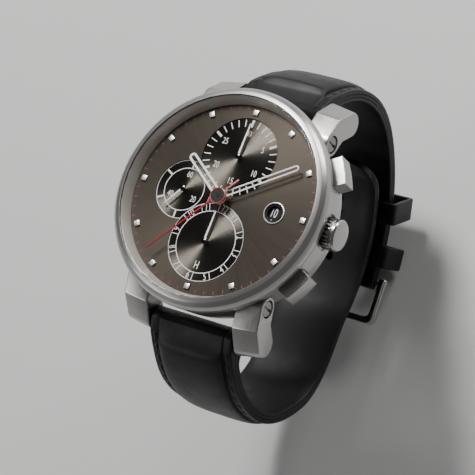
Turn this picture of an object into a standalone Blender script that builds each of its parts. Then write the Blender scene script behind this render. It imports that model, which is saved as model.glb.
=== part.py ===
"""A round chronograph wristwatch: case, dial, hands, hand-wound train, rotor, lugs and leather strap.

Frame: +Z leaves the dial towards the wearer, +Y points to 12 o'clock, +X to 3 o'clock (the crown).
The origin is the middle of the case back's flat outer face. Every solid is its own named object.
"""
import math

import bmesh
import bpy
from mathutils import Matrix, Vector

MM = 0.001
TAU = 2.0 * math.pi

# --- driving dimensions, in millimetres ---------------------------------------------------------
DIAL_Z = 10.0             # dial's upper face above the case back
DIAL_RADIUS = 19.2
DIAL_THICKNESS = 0.4
BEZEL_RADIUS = 22.0       # widest part of the bezel, half of the 44 mm watch
CASE_TOP_RADIUS = 21.5
CASE_FOOT_RADIUS = 20.7
CASE_FOOT_Z = 1.9
CASE_TOP_Z = 8.95
CASE_BELLY = (21.25, 5.0)                     # radius and height where the band starts to draw in
CASE_HEM_Z = 2.3                              # the band turns under below this height
CASE_LEDGE_Z = 3.0                            # underside of the ledge that holds the movement
CASE_BORE = 19.4
BEZEL_BORE = 20.35
BEZEL_FOOT_Z = 9.0
BEZEL_LIP = (20.05, 12.53, 12.64)             # the lip over the crystal: bore, underside and top
BEZEL_CURVE = [(20.9, 12.3), (21.65, 11.6), (BEZEL_RADIUS, 10.75), (21.95, 9.9), (21.7, BEZEL_FOOT_Z)]
CRYSTAL_RADIUS = 19.93
CRYSTAL_Z = (12.3, 13.3)
CRYSTAL_CHAMFER = (0.35, 0.3)
CRYSTAL_SEAL_Z = (12.28, 12.5)
SLOPE_TOP = (19.85, 20.3, 12.25)              # the sloping ring's upper edge: radii and height
SLOPE_FOOT = 18.9
BACK_BORE = 18.05
BACK_RADIUS = 18.9
BACK_RIM_Z = (0.7, 1.85)                      # lower and upper edge of the case back's rim
BACK_FLAT = 17.6                              # radius of its flat outer face
BACK_HOLLOW = (16.8, 1.2)                     # radius and depth of its hollow
BACK_COLLAR = (18.0, 2.85)                    # radius and top of the collar that enters the case
BACK_SLOTS, SLOT_RADIUS, SLOT_DEPTH = 6, 0.9, 0.6
SEAL_GROOVE = (18.3, 18.9, 2.5)               # radii and ceiling of the case back seal's groove
BACK_SEAL = (18.36, 18.84, 1.88, 2.44)
HOLDER = (15.5, 19.2, 3.1, 9.5)               # radii and heights of the ring round the movement
OVERSHOOT = 26.0                              # cutting tools reach this far outside the case

SUBDIAL_OFFSET = 8.6      # each subdial's centre from the dial's centre
SUBDIALS = {"12": (0.0, SUBDIAL_OFFSET), "6": (0.0, -SUBDIAL_OFFSET), "9": (-SUBDIAL_OFFSET, 0.0)}
SUBDIAL_RADII = {"12": 7.8, "6": 7.76, "9": 5.87}
SUBDIAL_DEPTH = 0.2
MARKER_CIRCLE = 17.6
MARKER_SIDE = 1.0
MARKER_HEIGHT = 0.35
DATE_X = 11.4
DATE_HOLE = 1.4
DATE_RING = (1.5, 2.1, DIAL_Z + 0.03, DIAL_Z + 0.25)      # radii and heights
DATE_DISC = (9.4, 13.6, 9.17, 9.4)

HANDS_Z = {"counter": (10.45, 10.6), "hour": (10.95, 11.12), "minute": (11.42, 11.58), "chrono": (11.9, 12.12)}
HOUR_ANGLE, MINUTE_ANGLE = 305.5, 56.0        # clockwise from 12, in degrees
CHRONO_ANGLE, SECONDS_ANGLE = 218.0, 214.0
HOUR_LENGTH, HOUR_WIDTH = 11.4, 1.6
MINUTE_LENGTH, MINUTE_WIDTH = 16.4, 1.2
CHRONO_LENGTH, CHRONO_TAIL = 16.7, 4.9
CHRONO_HUB = 1.6
CHRONO_HALF, CHRONO_HALF_TIP = 0.225, 0.12
COUNTER_LENGTHS = {"12": 6.6, "6": 6.0, "9": 4.6}
COUNTER_HUB, COUNTER_HALF, COUNTER_HALF_TIP = 0.62, 0.2, 0.1
HOUR_BOSS, MINUTE_BOSS = 1.45, 1.25
HOUR_WINDOW = (0.35, 1.75, HOUR_LENGTH - 0.45)            # half width, start and end of the opening
MINUTE_WINDOW = (0.3, 1.45, MINUTE_LENGTH - 0.3)
COUNTER_PINION, ARBOR_Z = 0.6, 8.2             # radius of the counters' pinions, foot of their arbors
FIT = 0.03                                    # clearance between a hand and its arbor

CROWN_Z = 6.1
CROWN_RADIUS = 3.0
CROWN_X = (20.9, 22.5, 23.9, 24.25)           # inner end, end of the flutes, rim, top of the dome
CROWN_FLUTES = 24
CROWN_RECESS = 3.5
CROWN_RECESS_X = 20.3
CROWN_BORE = 1.35
TUBE_RADIUS, TUBE_BORE, TUBE_X = 1.25, 0.5, (19.45, 21.9)
STEM_RADIUS, STEM_END, COLLAR_RADIUS = 0.42, 12.4, 0.75
COLLARS_X = ((12.4, 13.0), (14.0, 14.4))
YOKE_X, YOKE_Y, YOKE_HALF_HEIGHT, YOKE_BORE = (13.15, 13.85), (-1.0, 3.2), 1.0, 0.52

PUSHER_ANGLES = {"start": 60.0, "reset": 120.0}
PUSHER_WIDTH = 5.8
PUSHER_Z = (4.3, 7.9)
PUSHER_INNER, PUSHER_OUTER = 20.95, 23.8
PUSHER_FLOOR = 19.98
PUSHER_GAP = 0.1
PUSHER_MIDDLE = sum(PUSHER_Z) / 2.0
PUSHER_STEM, PUSHER_STEM_INNER = 0.45, 18.0
PUSHER_TUBE, PUSHER_TUBE_BORE, PUSHER_TUBE_REACH = 1.07, 0.52, (17.5, 19.9)
SPRING_WIRE, SPRING_RADIUS, SPRING_TURNS, SPRING_REACH = 0.09, 0.72, 2.5, (20.1, 20.82)

LUG_INNER, LUG_OUTER = 9.5, 14.9
PIVOT_Y, PIVOT_Z = 16.57, 5.16
BAR_Y, BAR_Z = 22.4, 0.7
LUG_KNEE = (19.9, 3.9)    # where the lug's two arms meet, on their middle line
LUG_HALF = 2.35           # half thickness of the arms
LUG_FLARE = 0.9                               # the inner corner of a lug reaches this much further
LUG_FLARE_Y = (18.0, 24.0)                    # the extra reach grows between these distances
LUG_CLIP = 20.5
LUG_SLOT_X = (11.75, 13.6)                    # the lug's slot for the case ear
LUG_SLOT_END = 18.3
LUG_SLOT_Z = (PIVOT_Z - 1.74, PIVOT_Z + 1.72)
BAR_RADIUS, BAR_HALF, BAR_HOLE = 0.72, 13.5, 0.82
NOTCH_RADIUS = 20.0
NOTCH_X, NOTCH_Y, NOTCH_Z = (LUG_INNER - 0.15, 17.0), (12.0, 24.0), (1.0, 7.75)
EAR_RADIUS, EAR_X = 1.6, (11.85, 13.5)
EAR_ROOT = CASE_BORE + 0.3                    # the ears are trimmed inside this radius
SCREW_HEAD, SCREW_SHANK = 1.65, 0.8
SCREW_HEAD_X, SCREW_SEAT, SCREW_FLOOR = (13.97, 14.72), 1.75, 13.9
SCREW_SLOT_HALF, SCREW_SLOT_X = 0.25, 14.35
SHANK_X = (12.05, 14.2)

PLATE_Z = (7.6, 9.1)
BRIDGE_Z = (3.9, 4.6)
PLATE_RADIUS = 15.3
ARBOR_HOLE = 0.33
CENTRE_BORE = 0.27
CHRONO_ARBOR = 0.2
MINUTE_PIPE = 0.75
HOUR_PIPE = (0.85, 1.15)
PIVOTS_Z = (4.1, 7.9)     # ends of the train's arbors
PIVOT_RADIUS = 0.2
MOTION_Z = (9.14, 9.28)   # the wheels under the dial
HOUR_WHEEL_Z = (9.36, 9.5)
BARREL_AT = (4.56, -5.44)
THIRD_AT = (-4.89, 1.78)
FOURTH_AT = (-SUBDIAL_OFFSET, 0.0)
ESCAPE_AT = (-10.04, 3.95)
BALANCE_AT = (-5.2, 9.6)
PALLET_AT = (-8.09, 6.23)
COCK_FOOT = (-0.31, 11.38)
BALANCE_RADIUS = 4.0
MINUTE_WHEEL_AT = (2.24, 2.24)
PILLAR_ANGLES = (40.0, 195.0, 255.0, 335.0)
PILLAR_AT, PILLAR_RADIUS = 14.4, 0.7
BALANCE_OPENING = 4.7
COCK_HALF, COCK_FOOT_RADIUS = 1.2, 0.9
ROTOR_RADIUS, ROTOR_WINDOW, ROTOR_Z = 14.6, (5.0, 11.5), (1.55, 2.25)
ROTOR_POST, ROTOR_BORE = 0.5, 0.56
HAIRSPRING_WIRE, HAIRSPRING_RADII, HAIRSPRING_TURNS, HAIRSPRING_Z = 0.05, (0.45, 1.9), 3.0, 5.1

STRAP_HALF = 9.2          # half width of the strap at the lugs
STRAP_TIP_HALF = 8.0      # half width at the buckle end
LOOP_CENTRE_Z = -17.0
LOOP_Y, LOOP_Z = 34.9, 31.0                   # half axes of the strap's outer surface
STRAP_THICK, STRAP_THIN = 5.6, 3.3
TAIL_THICK = 2.7
TAIL_INSET = 7.0          # how far inside the loop's outer surface the tail lies
BUCKLE_TURN = 173.0       # loop angle from the top at which the buckle's bar sits, 12 side
TAIL_TURN = 240.0         # loop angle at which the 6 side's tail ends
HEAD_TURN = 46.0          # loop angle at which the strap leaves the lugs
THICK_TURNS = 30.0        # loop angle over which it grows thin
TAIL_LEAVES = (128.0, 170.0)                  # the tail moves inside the loop between these
TAIL_TIP = 0.6            # the tip's share of the tail's thickness
NARROWS_Z = (-12.0, -38.0)
STRAP_BORE = 12.0         # the bar holes run this far each side of the middle
BUCKLE_HOLES, FIRST_HOLE, HOLE_PITCH, HOLE_RADIUS = 6, 192.0, 7.0, 0.9
NOSE = 1.75               # radius of the strap's rounded end round its lug bar
BUCKLE_OUTER, BUCKLE_INNER, BUCKLE_FOOT, BUCKLE_HALF = (10.6, 8.6), (8.85, 7.0), -1.3, 1.0
BUCKLE_BAR, BUCKLE_BAR_HALF, BUCKLE_BAR_BORE = 0.55, 9.9, 0.62
TONGUE_SIDE = [(-1.3, -1.25), (-1.3, 0.6), (-0.5, 1.2), (8.3, 1.75), (8.4, 1.15), (0.9, 0.4), (1.15, -1.25)]
TONGUE_HALF, TONGUE_BORE, SLIT_HALF = 0.7, 0.64, 0.9
KEEPER_IN, KEEPER_OUT = (9.15, 0.3), (10.1, 1.1)          # half width and gap over the leather
KEEPER_TURNS = {"fixed_keeper": 163.0, "free_keeper": 146.0}
KEEPER_WIDTH = 4.5
ROUND = 40                # sides of the large round pieces
SMALL_ROUND = 16


# --- helpers --------------------------------------------------------------------------------------
def clear_scene():
    for item in list(bpy.data.objects):
        bpy.data.objects.remove(item, do_unlink=True)


def new_collection(name):
    collection = bpy.data.collections.new(name)
    bpy.context.scene.collection.children.link(collection)
    return collection


clear_scene()
PARTS = new_collection("chronograph_wristwatch")
CUTTERS = new_collection("cutters")


def make_material(name, colour, roughness, metallic=0.0):
    material = bpy.data.materials.new(name)
    material.use_nodes = True
    shader = material.node_tree.nodes["Principled BSDF"]
    shader.inputs["Base Color"].default_value = (*colour, 1.0)
    shader.inputs["Roughness"].default_value = roughness
    shader.inputs["Metallic"].default_value = metallic
    return material


STEEL = (0.62, 0.61, 0.59)
BRASS = (0.75, 0.6, 0.32)
FINISHES = {
    "steel": (STEEL, 0.32, 1.0), "polished": (STEEL, 0.12, 1.0), "glass": ((0.9, 0.93, 0.95), 0.02, 0.0),
    "dial": ((0.22, 0.19, 0.16), 0.4, 0.6), "silver": ((0.75, 0.74, 0.72), 0.3, 1.0),
    "white": ((0.85, 0.85, 0.83), 0.4, 0.0), "red": ((0.6, 0.03, 0.02), 0.4, 0.0),
    "black": ((0.015, 0.015, 0.016), 0.5, 0.0), "rubber": ((0.02, 0.02, 0.02), 0.7, 0.0),
    "brass": (BRASS, 0.3, 1.0), "nickel": ((0.6, 0.59, 0.55), 0.35, 1.0),
    "leather": ((0.012, 0.012, 0.013), 0.5, 0.0), "blued": ((0.05, 0.07, 0.2), 0.25, 1.0),
}


def finish_object(item, finish, collection=PARTS):
    """Gives an object its own material and puts it in its collection."""
    for other in list(item.users_collection):
        other.objects.unlink(item)
    collection.objects.link(item)
    if collection is CUTTERS:
        item.hide_render = True
        item.display_type = 'WIRE'
        return item
    item.data.materials.clear()
    item.data.materials.append(make_material(item.name + "_material", *FINISHES[finish]))
    return item


def mesh_object(name, builder, finish, collection=PARTS, smooth=True):
    """Builds a mesh object from a bmesh that builder(bm) fills, in millimetres."""
    bm = bmesh.new()
    builder(bm)
    bmesh.ops.scale(bm, vec=(MM, MM, MM), verts=bm.verts)
    mesh = bpy.data.meshes.new(name)
    bm.to_mesh(mesh)
    bm.free()
    if smooth:
        mesh.shade_smooth()
        mesh.set_sharp_from_angle(angle=math.radians(30))
    return finish_object(bpy.data.objects.new(name, mesh), finish, collection)


def turned(name, profile, finish, at=(0.0, 0.0), sides=ROUND, collection=PARTS, closed=True):
    """Turns a profile of (radius, height) points about a vertical axis; it runs down its outer side."""
    def outline(bm):
        corners = [bm.verts.new((radius, 0.0, height)) for radius, height in profile]
        pairs = list(zip(corners, corners[1:]))
        if closed:
            pairs.append((corners[-1], corners[0]))
        for first, second in pairs:
            bm.edges.new((first, second))
    item = mesh_object(name, outline, finish, collection, smooth=False)
    item.location = (at[0] * MM, at[1] * MM, 0.0)
    screw = item.modifiers.new("turn", 'SCREW')
    screw.steps = sides
    screw.render_steps = sides
    screw.use_merge_vertices = True
    screw.merge_threshold = 0.000001
    screw.use_smooth_shade = False
    return item


def ring(name, inner, outer, low, high, finish, at=(0.0, 0.0), sides=ROUND, collection=PARTS):
    profile = [(outer, high), (outer, low), (inner, low), (inner, high)]
    return turned(name, profile, finish, at, sides, collection)


def box(name, low, high, finish="steel", collection=PARTS, spin=0.0):
    """A box between two corners, turned about Z by spin degrees."""
    size = [b - a for a, b in zip(low, high)]
    middle = [(a + b) / 2.0 for a, b in zip(low, high)]

    def cube(bm):
        place = Matrix.Translation(middle) @ Matrix.Diagonal((*size, 1.0))
        bmesh.ops.create_cube(bm, size=1.0, matrix=Matrix.Rotation(math.radians(spin), 4, 'Z') @ place)
    return mesh_object(name, cube, finish, collection, smooth=False)


def rod_into(bm, radius, start, end, sides=SMALL_ROUND):
    """Adds a capped cylinder between two points to a bmesh."""
    start, end = Vector(start), Vector(end)
    turn = (end - start).to_track_quat('Z', 'Y').to_matrix().to_4x4()
    place = Matrix.Translation((start + end) / 2.0) @ turn
    bmesh.ops.create_cone(bm, cap_ends=True, segments=sides, radius1=radius, radius2=radius,
                          depth=(end - start).length, matrix=place)


def rod(name, radius, start, end, finish="steel", sides=SMALL_ROUND, collection=PARTS):
    return mesh_object(name, lambda bm: rod_into(bm, radius, start, end, sides), finish, collection)


def rods(name, pieces, collection=CUTTERS, sides=16):
    """Several separate cylinders in one object: (radius, start, end) each."""
    def build(bm):
        for radius, start, end in pieces:
            rod_into(bm, radius, start, end, sides)
    return mesh_object(name, build, "steel", collection)


FLAT = Matrix.Identity(4)
SIDE_ON = Matrix(((0, 0, 1, 0), (1, 0, 0, 0), (0, 1, 0, 0), (0, 0, 0, 1)))    # outline (y, z) extruded along X


def plate(name, outlines, low, high, finish, place=FLAT, at=(0.0, 0.0), collection=PARTS):
    """An extruded flat outline with holes, as a welded mesh. Outlines are lists of points in mm."""
    curve = bpy.data.curves.new(name, 'CURVE')
    curve.dimensions = '2D'
    curve.fill_mode = 'BOTH'
    curve.extrude = (high - low) / 2.0
    for points in outlines:
        spline = curve.splines.new('POLY')
        spline.points.add(len(points) - 1)
        for point, (x, y) in zip(spline.points, points):
            point.co = (x, y, 0.0, 1.0)
        spline.use_cyclic_u = True
    source = bpy.data.objects.new(name + "_curve", curve)
    bpy.context.scene.collection.objects.link(source)
    bpy.context.view_layer.update()
    evaluated = source.evaluated_get(bpy.context.evaluated_depsgraph_get())
    mesh = bpy.data.meshes.new_from_object(evaluated)
    bpy.data.objects.remove(source, do_unlink=True)
    bm = bmesh.new()
    bm.from_mesh(mesh)
    bmesh.ops.remove_doubles(bm, verts=bm.verts, dist=0.0005)
    shift = Matrix.Translation((at[0], at[1], (low + high) / 2.0))
    bmesh.ops.transform(bm, matrix=place @ Matrix.Scale(MM, 4) @ shift, verts=bm.verts)
    bmesh.ops.recalc_face_normals(bm, faces=bm.faces)
    bm.to_mesh(mesh)
    bm.free()
    return finish_object(bpy.data.objects.new(name, mesh), finish, collection)


def combine(target, tool, operation='DIFFERENCE'):
    modifier = target.modifiers.new(operation.lower(), 'BOOLEAN')
    modifier.operation = operation
    modifier.object = tool
    return target


def cut(target, *tools):
    for tool in tools:
        combine(target, tool)
    return target


def join(target, *tools):
    for tool in tools:
        combine(target, tool, 'UNION')
    return target


def soften(item, width, segments=2, angle=35.0):
    bevel = item.modifiers.new("bevel", 'BEVEL')
    bevel.width = width * MM
    bevel.segments = segments
    bevel.limit_method = 'ANGLE'
    bevel.angle_limit = math.radians(angle)
    return item


def circle(radius, centre=(0.0, 0.0), sides=SMALL_ROUND):
    steps = [TAU * i / sides for i in range(sides)]
    return [(centre[0] + radius * math.cos(a), centre[1] + radius * math.sin(a)) for a in steps]


def polar(radius, degrees):
    """A point at a clock angle: degrees run clockwise from 12 o'clock."""
    turn = math.radians(degrees)
    return radius * math.sin(turn), radius * math.cos(turn)


def clock_turn(degrees):
    """The turn about Z that takes +Y to a clock angle."""
    return Matrix.Rotation(-math.radians(degrees), 4, 'Z')


def stadium(half_width, start, end, sides=6):
    """A bar along +Y with round ends; start and end are where it begins and stops."""
    turns = [math.pi * i / sides for i in range(sides + 1)]
    arc = [(half_width * math.cos(turn), half_width * (math.sin(turn) - 1.0)) for turn in turns]
    return [(x, end + y) for x, y in arc] + [(-x, start - y) for x, y in arc]


def gear_outline(radius, teeth, depth=0.22):
    """A wheel's rim with pointed teeth, one tip and one root to each tooth."""
    outline = []
    for i in range(2 * teeth):
        reach = radius if i % 2 == 0 else radius - depth
        outline.append((reach * math.cos(math.pi * i / teeth), reach * math.sin(math.pi * i / teeth)))
    return outline


def at_angle(points, turn):
    c, s = math.cos(turn), math.sin(turn)
    return [(x * c - y * s, x * s + y * c) for x, y in points]


# --- case -----------------------------------------------------------------------------------------
def both_ways(side, ends):
    """The two ends of a span on one side of the middle, lowest first."""
    return sorted((side * ends[0], side * ends[1]))


def make_case():
    inner, outer, ceiling = SEAL_GROOVE
    profile = [(CASE_TOP_RADIUS, CASE_TOP_Z), CASE_BELLY, (CASE_FOOT_RADIUS + 0.1, CASE_HEM_Z),
               (CASE_FOOT_RADIUS - 0.3, CASE_FOOT_Z), (outer, CASE_FOOT_Z), (outer, ceiling), (inner, ceiling),
               (inner, CASE_FOOT_Z), (BACK_BORE, CASE_FOOT_Z), (BACK_BORE, CASE_LEDGE_Z),
               (CASE_BORE, CASE_LEDGE_Z), (CASE_BORE, CASE_TOP_Z)]
    case = turned("case_middle", profile, "steel")
    high = CRYSTAL_Z[0]
    core = rod("notch_core", NOTCH_RADIUS, (0, 0, 0), (0, 0, high), collection=CUTTERS, sides=ROUND)
    ear_core = rod("ear_core", EAR_ROOT, (0, 0, 0), (0, 0, high), collection=CUTTERS, sides=ROUND)
    ears = []
    holes = []
    for side_x in (1, -1):
        for side_y in (1, -1):
            corners_x, corners_y = both_ways(side_x, NOTCH_X), both_ways(side_y, NOTCH_Y)
            notch = box(f"lug_notch_{side_x}_{side_y}", (corners_x[0], corners_y[0], NOTCH_Z[0]),
                        (corners_x[1], corners_y[1], NOTCH_Z[1]), collection=CUTTERS)
            cut(case, cut(notch, core))
            pivot = (side_y * PIVOT_Y, PIVOT_Z)
            ears.append((EAR_RADIUS, (side_x * EAR_X[0], *pivot), (side_x * EAR_X[1], *pivot)))
            near, far = EAR_X[0] + 0.1, EAR_X[1] + 1.0
            holes.append((SCREW_SHANK + 0.06, (side_x * near, *pivot), (side_x * far, *pivot)))
    join(case, cut(rods("ears", ears, sides=SMALL_ROUND), ear_core))
    cut(case, rods("ear_holes", holes))
    seat = (CROWN_RECESS, (CROWN_RECESS_X, 0, CROWN_Z), (OVERSHOOT, 0, CROWN_Z))
    cut(case, rods("crown_seat", [seat], sides=32))
    tube_hole = (TUBE_RADIUS + 0.05, (BACK_BORE, 0, CROWN_Z), (CROWN_RECESS_X + 0.7, 0, CROWN_Z))
    cut(case, rods("crown_tube_hole", [tube_hole]))
    half = PUSHER_WIDTH / 2.0 + PUSHER_GAP
    for name, angle in PUSHER_ANGLES.items():
        pocket = box("pocket_" + name, (-half, PUSHER_FLOOR, PUSHER_Z[0] - PUSHER_GAP),
                     (half, OVERSHOOT, PUSHER_Z[1] + PUSHER_GAP), collection=CUTTERS, spin=-angle)
        cut(case, pocket, radial_rod("stem_hole_" + name, PUSHER_TUBE + 0.05, angle, 18.5, 20.5))


def radial_rod(name, radius, angle, inner, outer):
    """A cylinder that runs outwards at a clock angle, at the pushers' height."""
    start, end = (*polar(inner, angle), PUSHER_MIDDLE), (*polar(outer, angle), PUSHER_MIDDLE)
    return rods(name, [(radius, start, end)])


def make_bezel_and_glass():
    lip, underside, top = BEZEL_LIP
    inside = [(BEZEL_BORE, BEZEL_FOOT_Z), (BEZEL_BORE, underside), (lip, underside)]
    turned("bezel", [(lip, top), *BEZEL_CURVE, *inside], "steel")
    low, high = CRYSTAL_Z
    inset, drop = CRYSTAL_CHAMFER
    turned("crystal", [(0.0, high), (CRYSTAL_RADIUS - inset, high), (CRYSTAL_RADIUS, high - drop),
                       (CRYSTAL_RADIUS, low), (0.0, low)], "glass", closed=False)
    ring("crystal_gasket", CRYSTAL_RADIUS + 0.04, BEZEL_BORE - 0.04, *CRYSTAL_SEAL_Z, "rubber")
    inner, outer, height = SLOPE_TOP
    foot = DIAL_Z + 0.03
    turned("rehaut", [(inner, height), (outer, height), (outer, foot), (SLOPE_FOOT, foot)], "silver")


def make_back():
    hollow, depth = BACK_HOLLOW
    collar, collar_top = BACK_COLLAR
    rim_low, rim_high = BACK_RIM_Z
    back = turned("caseback", [(0.0, depth), (hollow, depth), (hollow, collar_top), (collar, collar_top),
                               (collar, rim_high), (BACK_RADIUS, rim_high), (BACK_RADIUS, rim_low),
                               (BACK_FLAT, 0.0), (0.0, 0.0)], "steel", closed=False)
    slots = []
    for i in range(BACK_SLOTS):
        x, y = polar(BACK_FLAT, 360.0 / BACK_SLOTS * (i + 0.5))
        slots.append((SLOT_RADIUS, (x, y, -0.5), (x, y, SLOT_DEPTH)))
    cut(back, rods("key_slots", slots, sides=12))
    ring("caseback_gasket", *BACK_SEAL, "rubber")


def make_movement_ring():
    holder = ring("movement_ring", *HOLDER, "nickel")
    stem_hole = rods("holder_hole_0", [(0.8, (14.0, 0, CROWN_Z), (20.0, 0, CROWN_Z))])
    tube_hole = rods("holder_hole_1", [(1.4, (18.5, 0, CROWN_Z), (20.0, 0, CROWN_Z))])
    cut(holder, stem_hole, tube_hole)
    for name, angle in PUSHER_ANGLES.items():
        cut(holder, radial_rod("holder_hole_" + name, 1.2, angle, 14.0, 20.5))


# --- lugs -----------------------------------------------------------------------------------------
def beside(start, end, offset):
    """The two ends of a line drawn parallel to start-end, offset to its left in the (y, z) view."""
    run, rise = end[0] - start[0], end[1] - start[1]
    length = math.hypot(run, rise)
    shift = (-rise / length * offset, run / length * offset)
    return [(start[0] + shift[0], start[1] + shift[1]), (end[0] + shift[0], end[1] + shift[1])]


def meeting(first, second):
    """Where the lines through two pairs of points cross."""
    (ax, ay), (bx, by) = first
    (cx, cy), (dx, dy) = second
    ux, uy, vx, vy = bx - ax, by - ay, dx - cx, dy - cy
    t = ((cx - ax) * vy - (cy - ay) * vx) / (ux * vy - uy * vx)
    return ax + t * ux, ay + t * uy


def half_turn(centre, start, steps=7):
    """A half circle about centre, clockwise, without its two ends."""
    radius = math.dist(centre, start)
    turn = math.atan2(start[1] - centre[1], start[0] - centre[0])
    return [(centre[0] + radius * math.cos(turn - math.pi * i / steps),
             centre[1] + radius * math.sin(turn - math.pi * i / steps)) for i in range(1, steps)]


def lug_outline(side):
    """The lug's side view: two straight arms that meet in a crease, with round ends; side is +1 at 12."""
    pivot, bar = (PIVOT_Y, PIVOT_Z), (BAR_Y, BAR_Z)
    upper_in, upper_out = beside(pivot, LUG_KNEE, LUG_HALF), beside(LUG_KNEE, bar, LUG_HALF)
    lower_in, lower_out = beside(pivot, LUG_KNEE, -LUG_HALF), beside(LUG_KNEE, bar, -LUG_HALF)
    outline = [upper_in[0], meeting(upper_in, upper_out), upper_out[1]] + half_turn(bar, upper_out[1])
    outline += [lower_out[1], meeting(lower_in, lower_out), lower_in[0]] + half_turn(pivot, lower_in[0])
    return [(side * y, z) for y, z in outline]


def flare_lug(item):
    """Lets the lug's end reach further out towards its inner cheek, as if cut round the case."""
    for vertex in item.data.vertices:
        y = abs(vertex.co.y) / MM
        inward = (LUG_OUTER - abs(vertex.co.x) / MM) / (LUG_OUTER - LUG_INNER)
        reach = max(0.0, min(1.0, (y - LUG_FLARE_Y[0]) / (LUG_FLARE_Y[1] - LUG_FLARE_Y[0])))
        vertex.co.y += math.copysign(inward * reach * LUG_FLARE * MM, vertex.co.y)


def make_lugs():
    for end, side_y in (("12", 1), ("6", -1)):
        pivot, bar = (side_y * PIVOT_Y, PIVOT_Z), (side_y * BAR_Y, BAR_Z)
        for hand, side_x in (("right", 1), ("left", -1)):
            name = f"lug_{end}_{hand}"
            x_low, x_high = both_ways(side_x, (LUG_INNER, LUG_OUTER))
            lug = plate(name, [lug_outline(side_y)], x_low, x_high, "steel", place=SIDE_ON)
            flare_lug(lug)
            soften(lug, 0.35, segments=1)
            y_low, y_high = both_ways(side_y, (NOTCH_Y[0], LUG_SLOT_END))
            slot_low, slot_high = both_ways(side_x, LUG_SLOT_X)
            slot = box(name + "_slot", (slot_low, y_low, LUG_SLOT_Z[0]), (slot_high, y_high, LUG_SLOT_Z[1]),
                       collection=CUTTERS)
            clip = rod(name + "_clip", LUG_CLIP, (0, 0, -6), (0, 0, 13), collection=CUTTERS, sides=72)
            holes = ((SCREW_SEAT, SCREW_FLOOR, 16.0, pivot), (SCREW_SHANK + 0.08, 13.0, 15.0, pivot),
                     (BAR_HOLE, 9.0, BAR_HALF + 0.1, bar))
            tools = [rods(f"{name}_hole_{i}", [(size, (side_x * near, *at), (side_x * far, *at))])
                     for i, (size, near, far, at) in enumerate(holes)]
            cut(lug, slot, clip, *tools)
            make_lug_screw(f"lug_screw_{end}_{hand}", side_x, pivot)
        rod(f"strap_bar_{end}", BAR_RADIUS, (-BAR_HALF, *bar), (BAR_HALF, *bar), "polished")


def make_lug_screw(name, side, pivot):
    screw = rod(name, SCREW_HEAD, (side * SCREW_HEAD_X[0], *pivot), (side * SCREW_HEAD_X[1], *pivot), "steel")
    thread = (SCREW_SHANK, (side * SHANK_X[0], *pivot), (side * SHANK_X[1], *pivot))
    shank = rods(name + "_thread", [thread], sides=12)
    x_low, x_high = both_ways(side, (SCREW_SLOT_X, SCREW_HEAD_X[1] + 0.28))
    slot = box(name + "_slot", (x_low, pivot[0] - SCREW_SLOT_HALF, PIVOT_Z - 2.0),
               (x_high, pivot[0] + SCREW_SLOT_HALF, PIVOT_Z + 2.0), collection=CUTTERS)
    cut(join(screw, shank), slot)


# --- crown and pushers ------------------------------------------------------------------------------
def make_crown():
    inner, flutes_end, rim, top = CROWN_X
    along = Matrix.Translation((0, 0, CROWN_Z * MM)) @ Matrix.Rotation(math.radians(90), 4, 'Y')
    flutes = gear_outline(CROWN_RADIUS - 0.07, CROWN_FLUTES)
    crown = plate("crown", [flutes], inner, flutes_end, "steel", place=along)
    head = turned("crown_head", [(0.0, top), (1.6, top - 0.08), (2.7, rim), (CROWN_RADIUS, rim - 0.3),
                                 (CROWN_RADIUS, flutes_end - 0.1), (0.0, flutes_end - 0.1)], "steel", sides=32,
                  collection=CUTTERS, closed=False)
    head.matrix_world = along
    join(crown, head)
    bore = (CROWN_BORE, (inner - 1.0, 0, CROWN_Z), (flutes_end + 0.1, 0, CROWN_Z))
    cut(crown, rods("crown_bore", [bore]))
    stem_top = flutes_end + 0.05
    stem = rod("winding_stem", STEM_RADIUS, (STEM_END, 0, CROWN_Z), (stem_top, 0, CROWN_Z), "polished")
    collars = [(COLLAR_RADIUS, (near, 0, CROWN_Z), (far, 0, CROWN_Z)) for near, far in COLLARS_X]
    join(stem, rods("stem_collars", collars))
    tube = rod("crown_tube", TUBE_RADIUS, (TUBE_X[0], 0, CROWN_Z), (TUBE_X[1], 0, CROWN_Z), "polished")
    cut(tube, rods("tube_bore", [(TUBE_BORE, (TUBE_X[0] - 0.45, 0, CROWN_Z), (TUBE_X[1] + 0.6, 0, CROWN_Z))]))
    yoke = box("setting_yoke", (YOKE_X[0], YOKE_Y[0], CROWN_Z - YOKE_HALF_HEIGHT),
               (YOKE_X[1], YOKE_Y[1], CROWN_Z + YOKE_HALF_HEIGHT))
    cut(yoke, rods("yoke_bore", [(YOKE_BORE, (YOKE_X[0] - 0.65, 0, CROWN_Z), (YOKE_X[1] + 0.65, 0, CROWN_Z))]))


def make_pushers():
    half = PUSHER_WIDTH / 2.0
    spread = math.asin(half / PUSHER_OUTER)
    turns = [spread * (i / 4.0 - 1.0) for i in range(9)]
    outline = [(PUSHER_OUTER * math.sin(turn), PUSHER_OUTER * math.cos(turn)) for turn in turns]
    outline += [(half, PUSHER_INNER), (-half, PUSHER_INNER)]
    for name, angle in PUSHER_ANGLES.items():
        button = plate("pusher_" + name, [outline], PUSHER_Z[0], PUSHER_Z[1], "steel", place=clock_turn(angle))
        soften(button, 0.2, angle=50.0)
        stem_end = PUSHER_INNER + 0.35
        join(button, radial_rod("pusher_stem_" + name, PUSHER_STEM, angle, PUSHER_STEM_INNER, stem_end))
        near, far = PUSHER_TUBE_REACH
        tube = rod("pusher_tube_" + name, PUSHER_TUBE, (*polar(near, angle), PUSHER_MIDDLE),
                   (*polar(far, angle), PUSHER_MIDDLE), "polished")
        cut(tube, radial_rod("pusher_tube_bore_" + name, PUSHER_TUBE_BORE, angle, near - 0.5, far + 0.6))
        make_coil("pusher_spring_" + name, angle)


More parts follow.
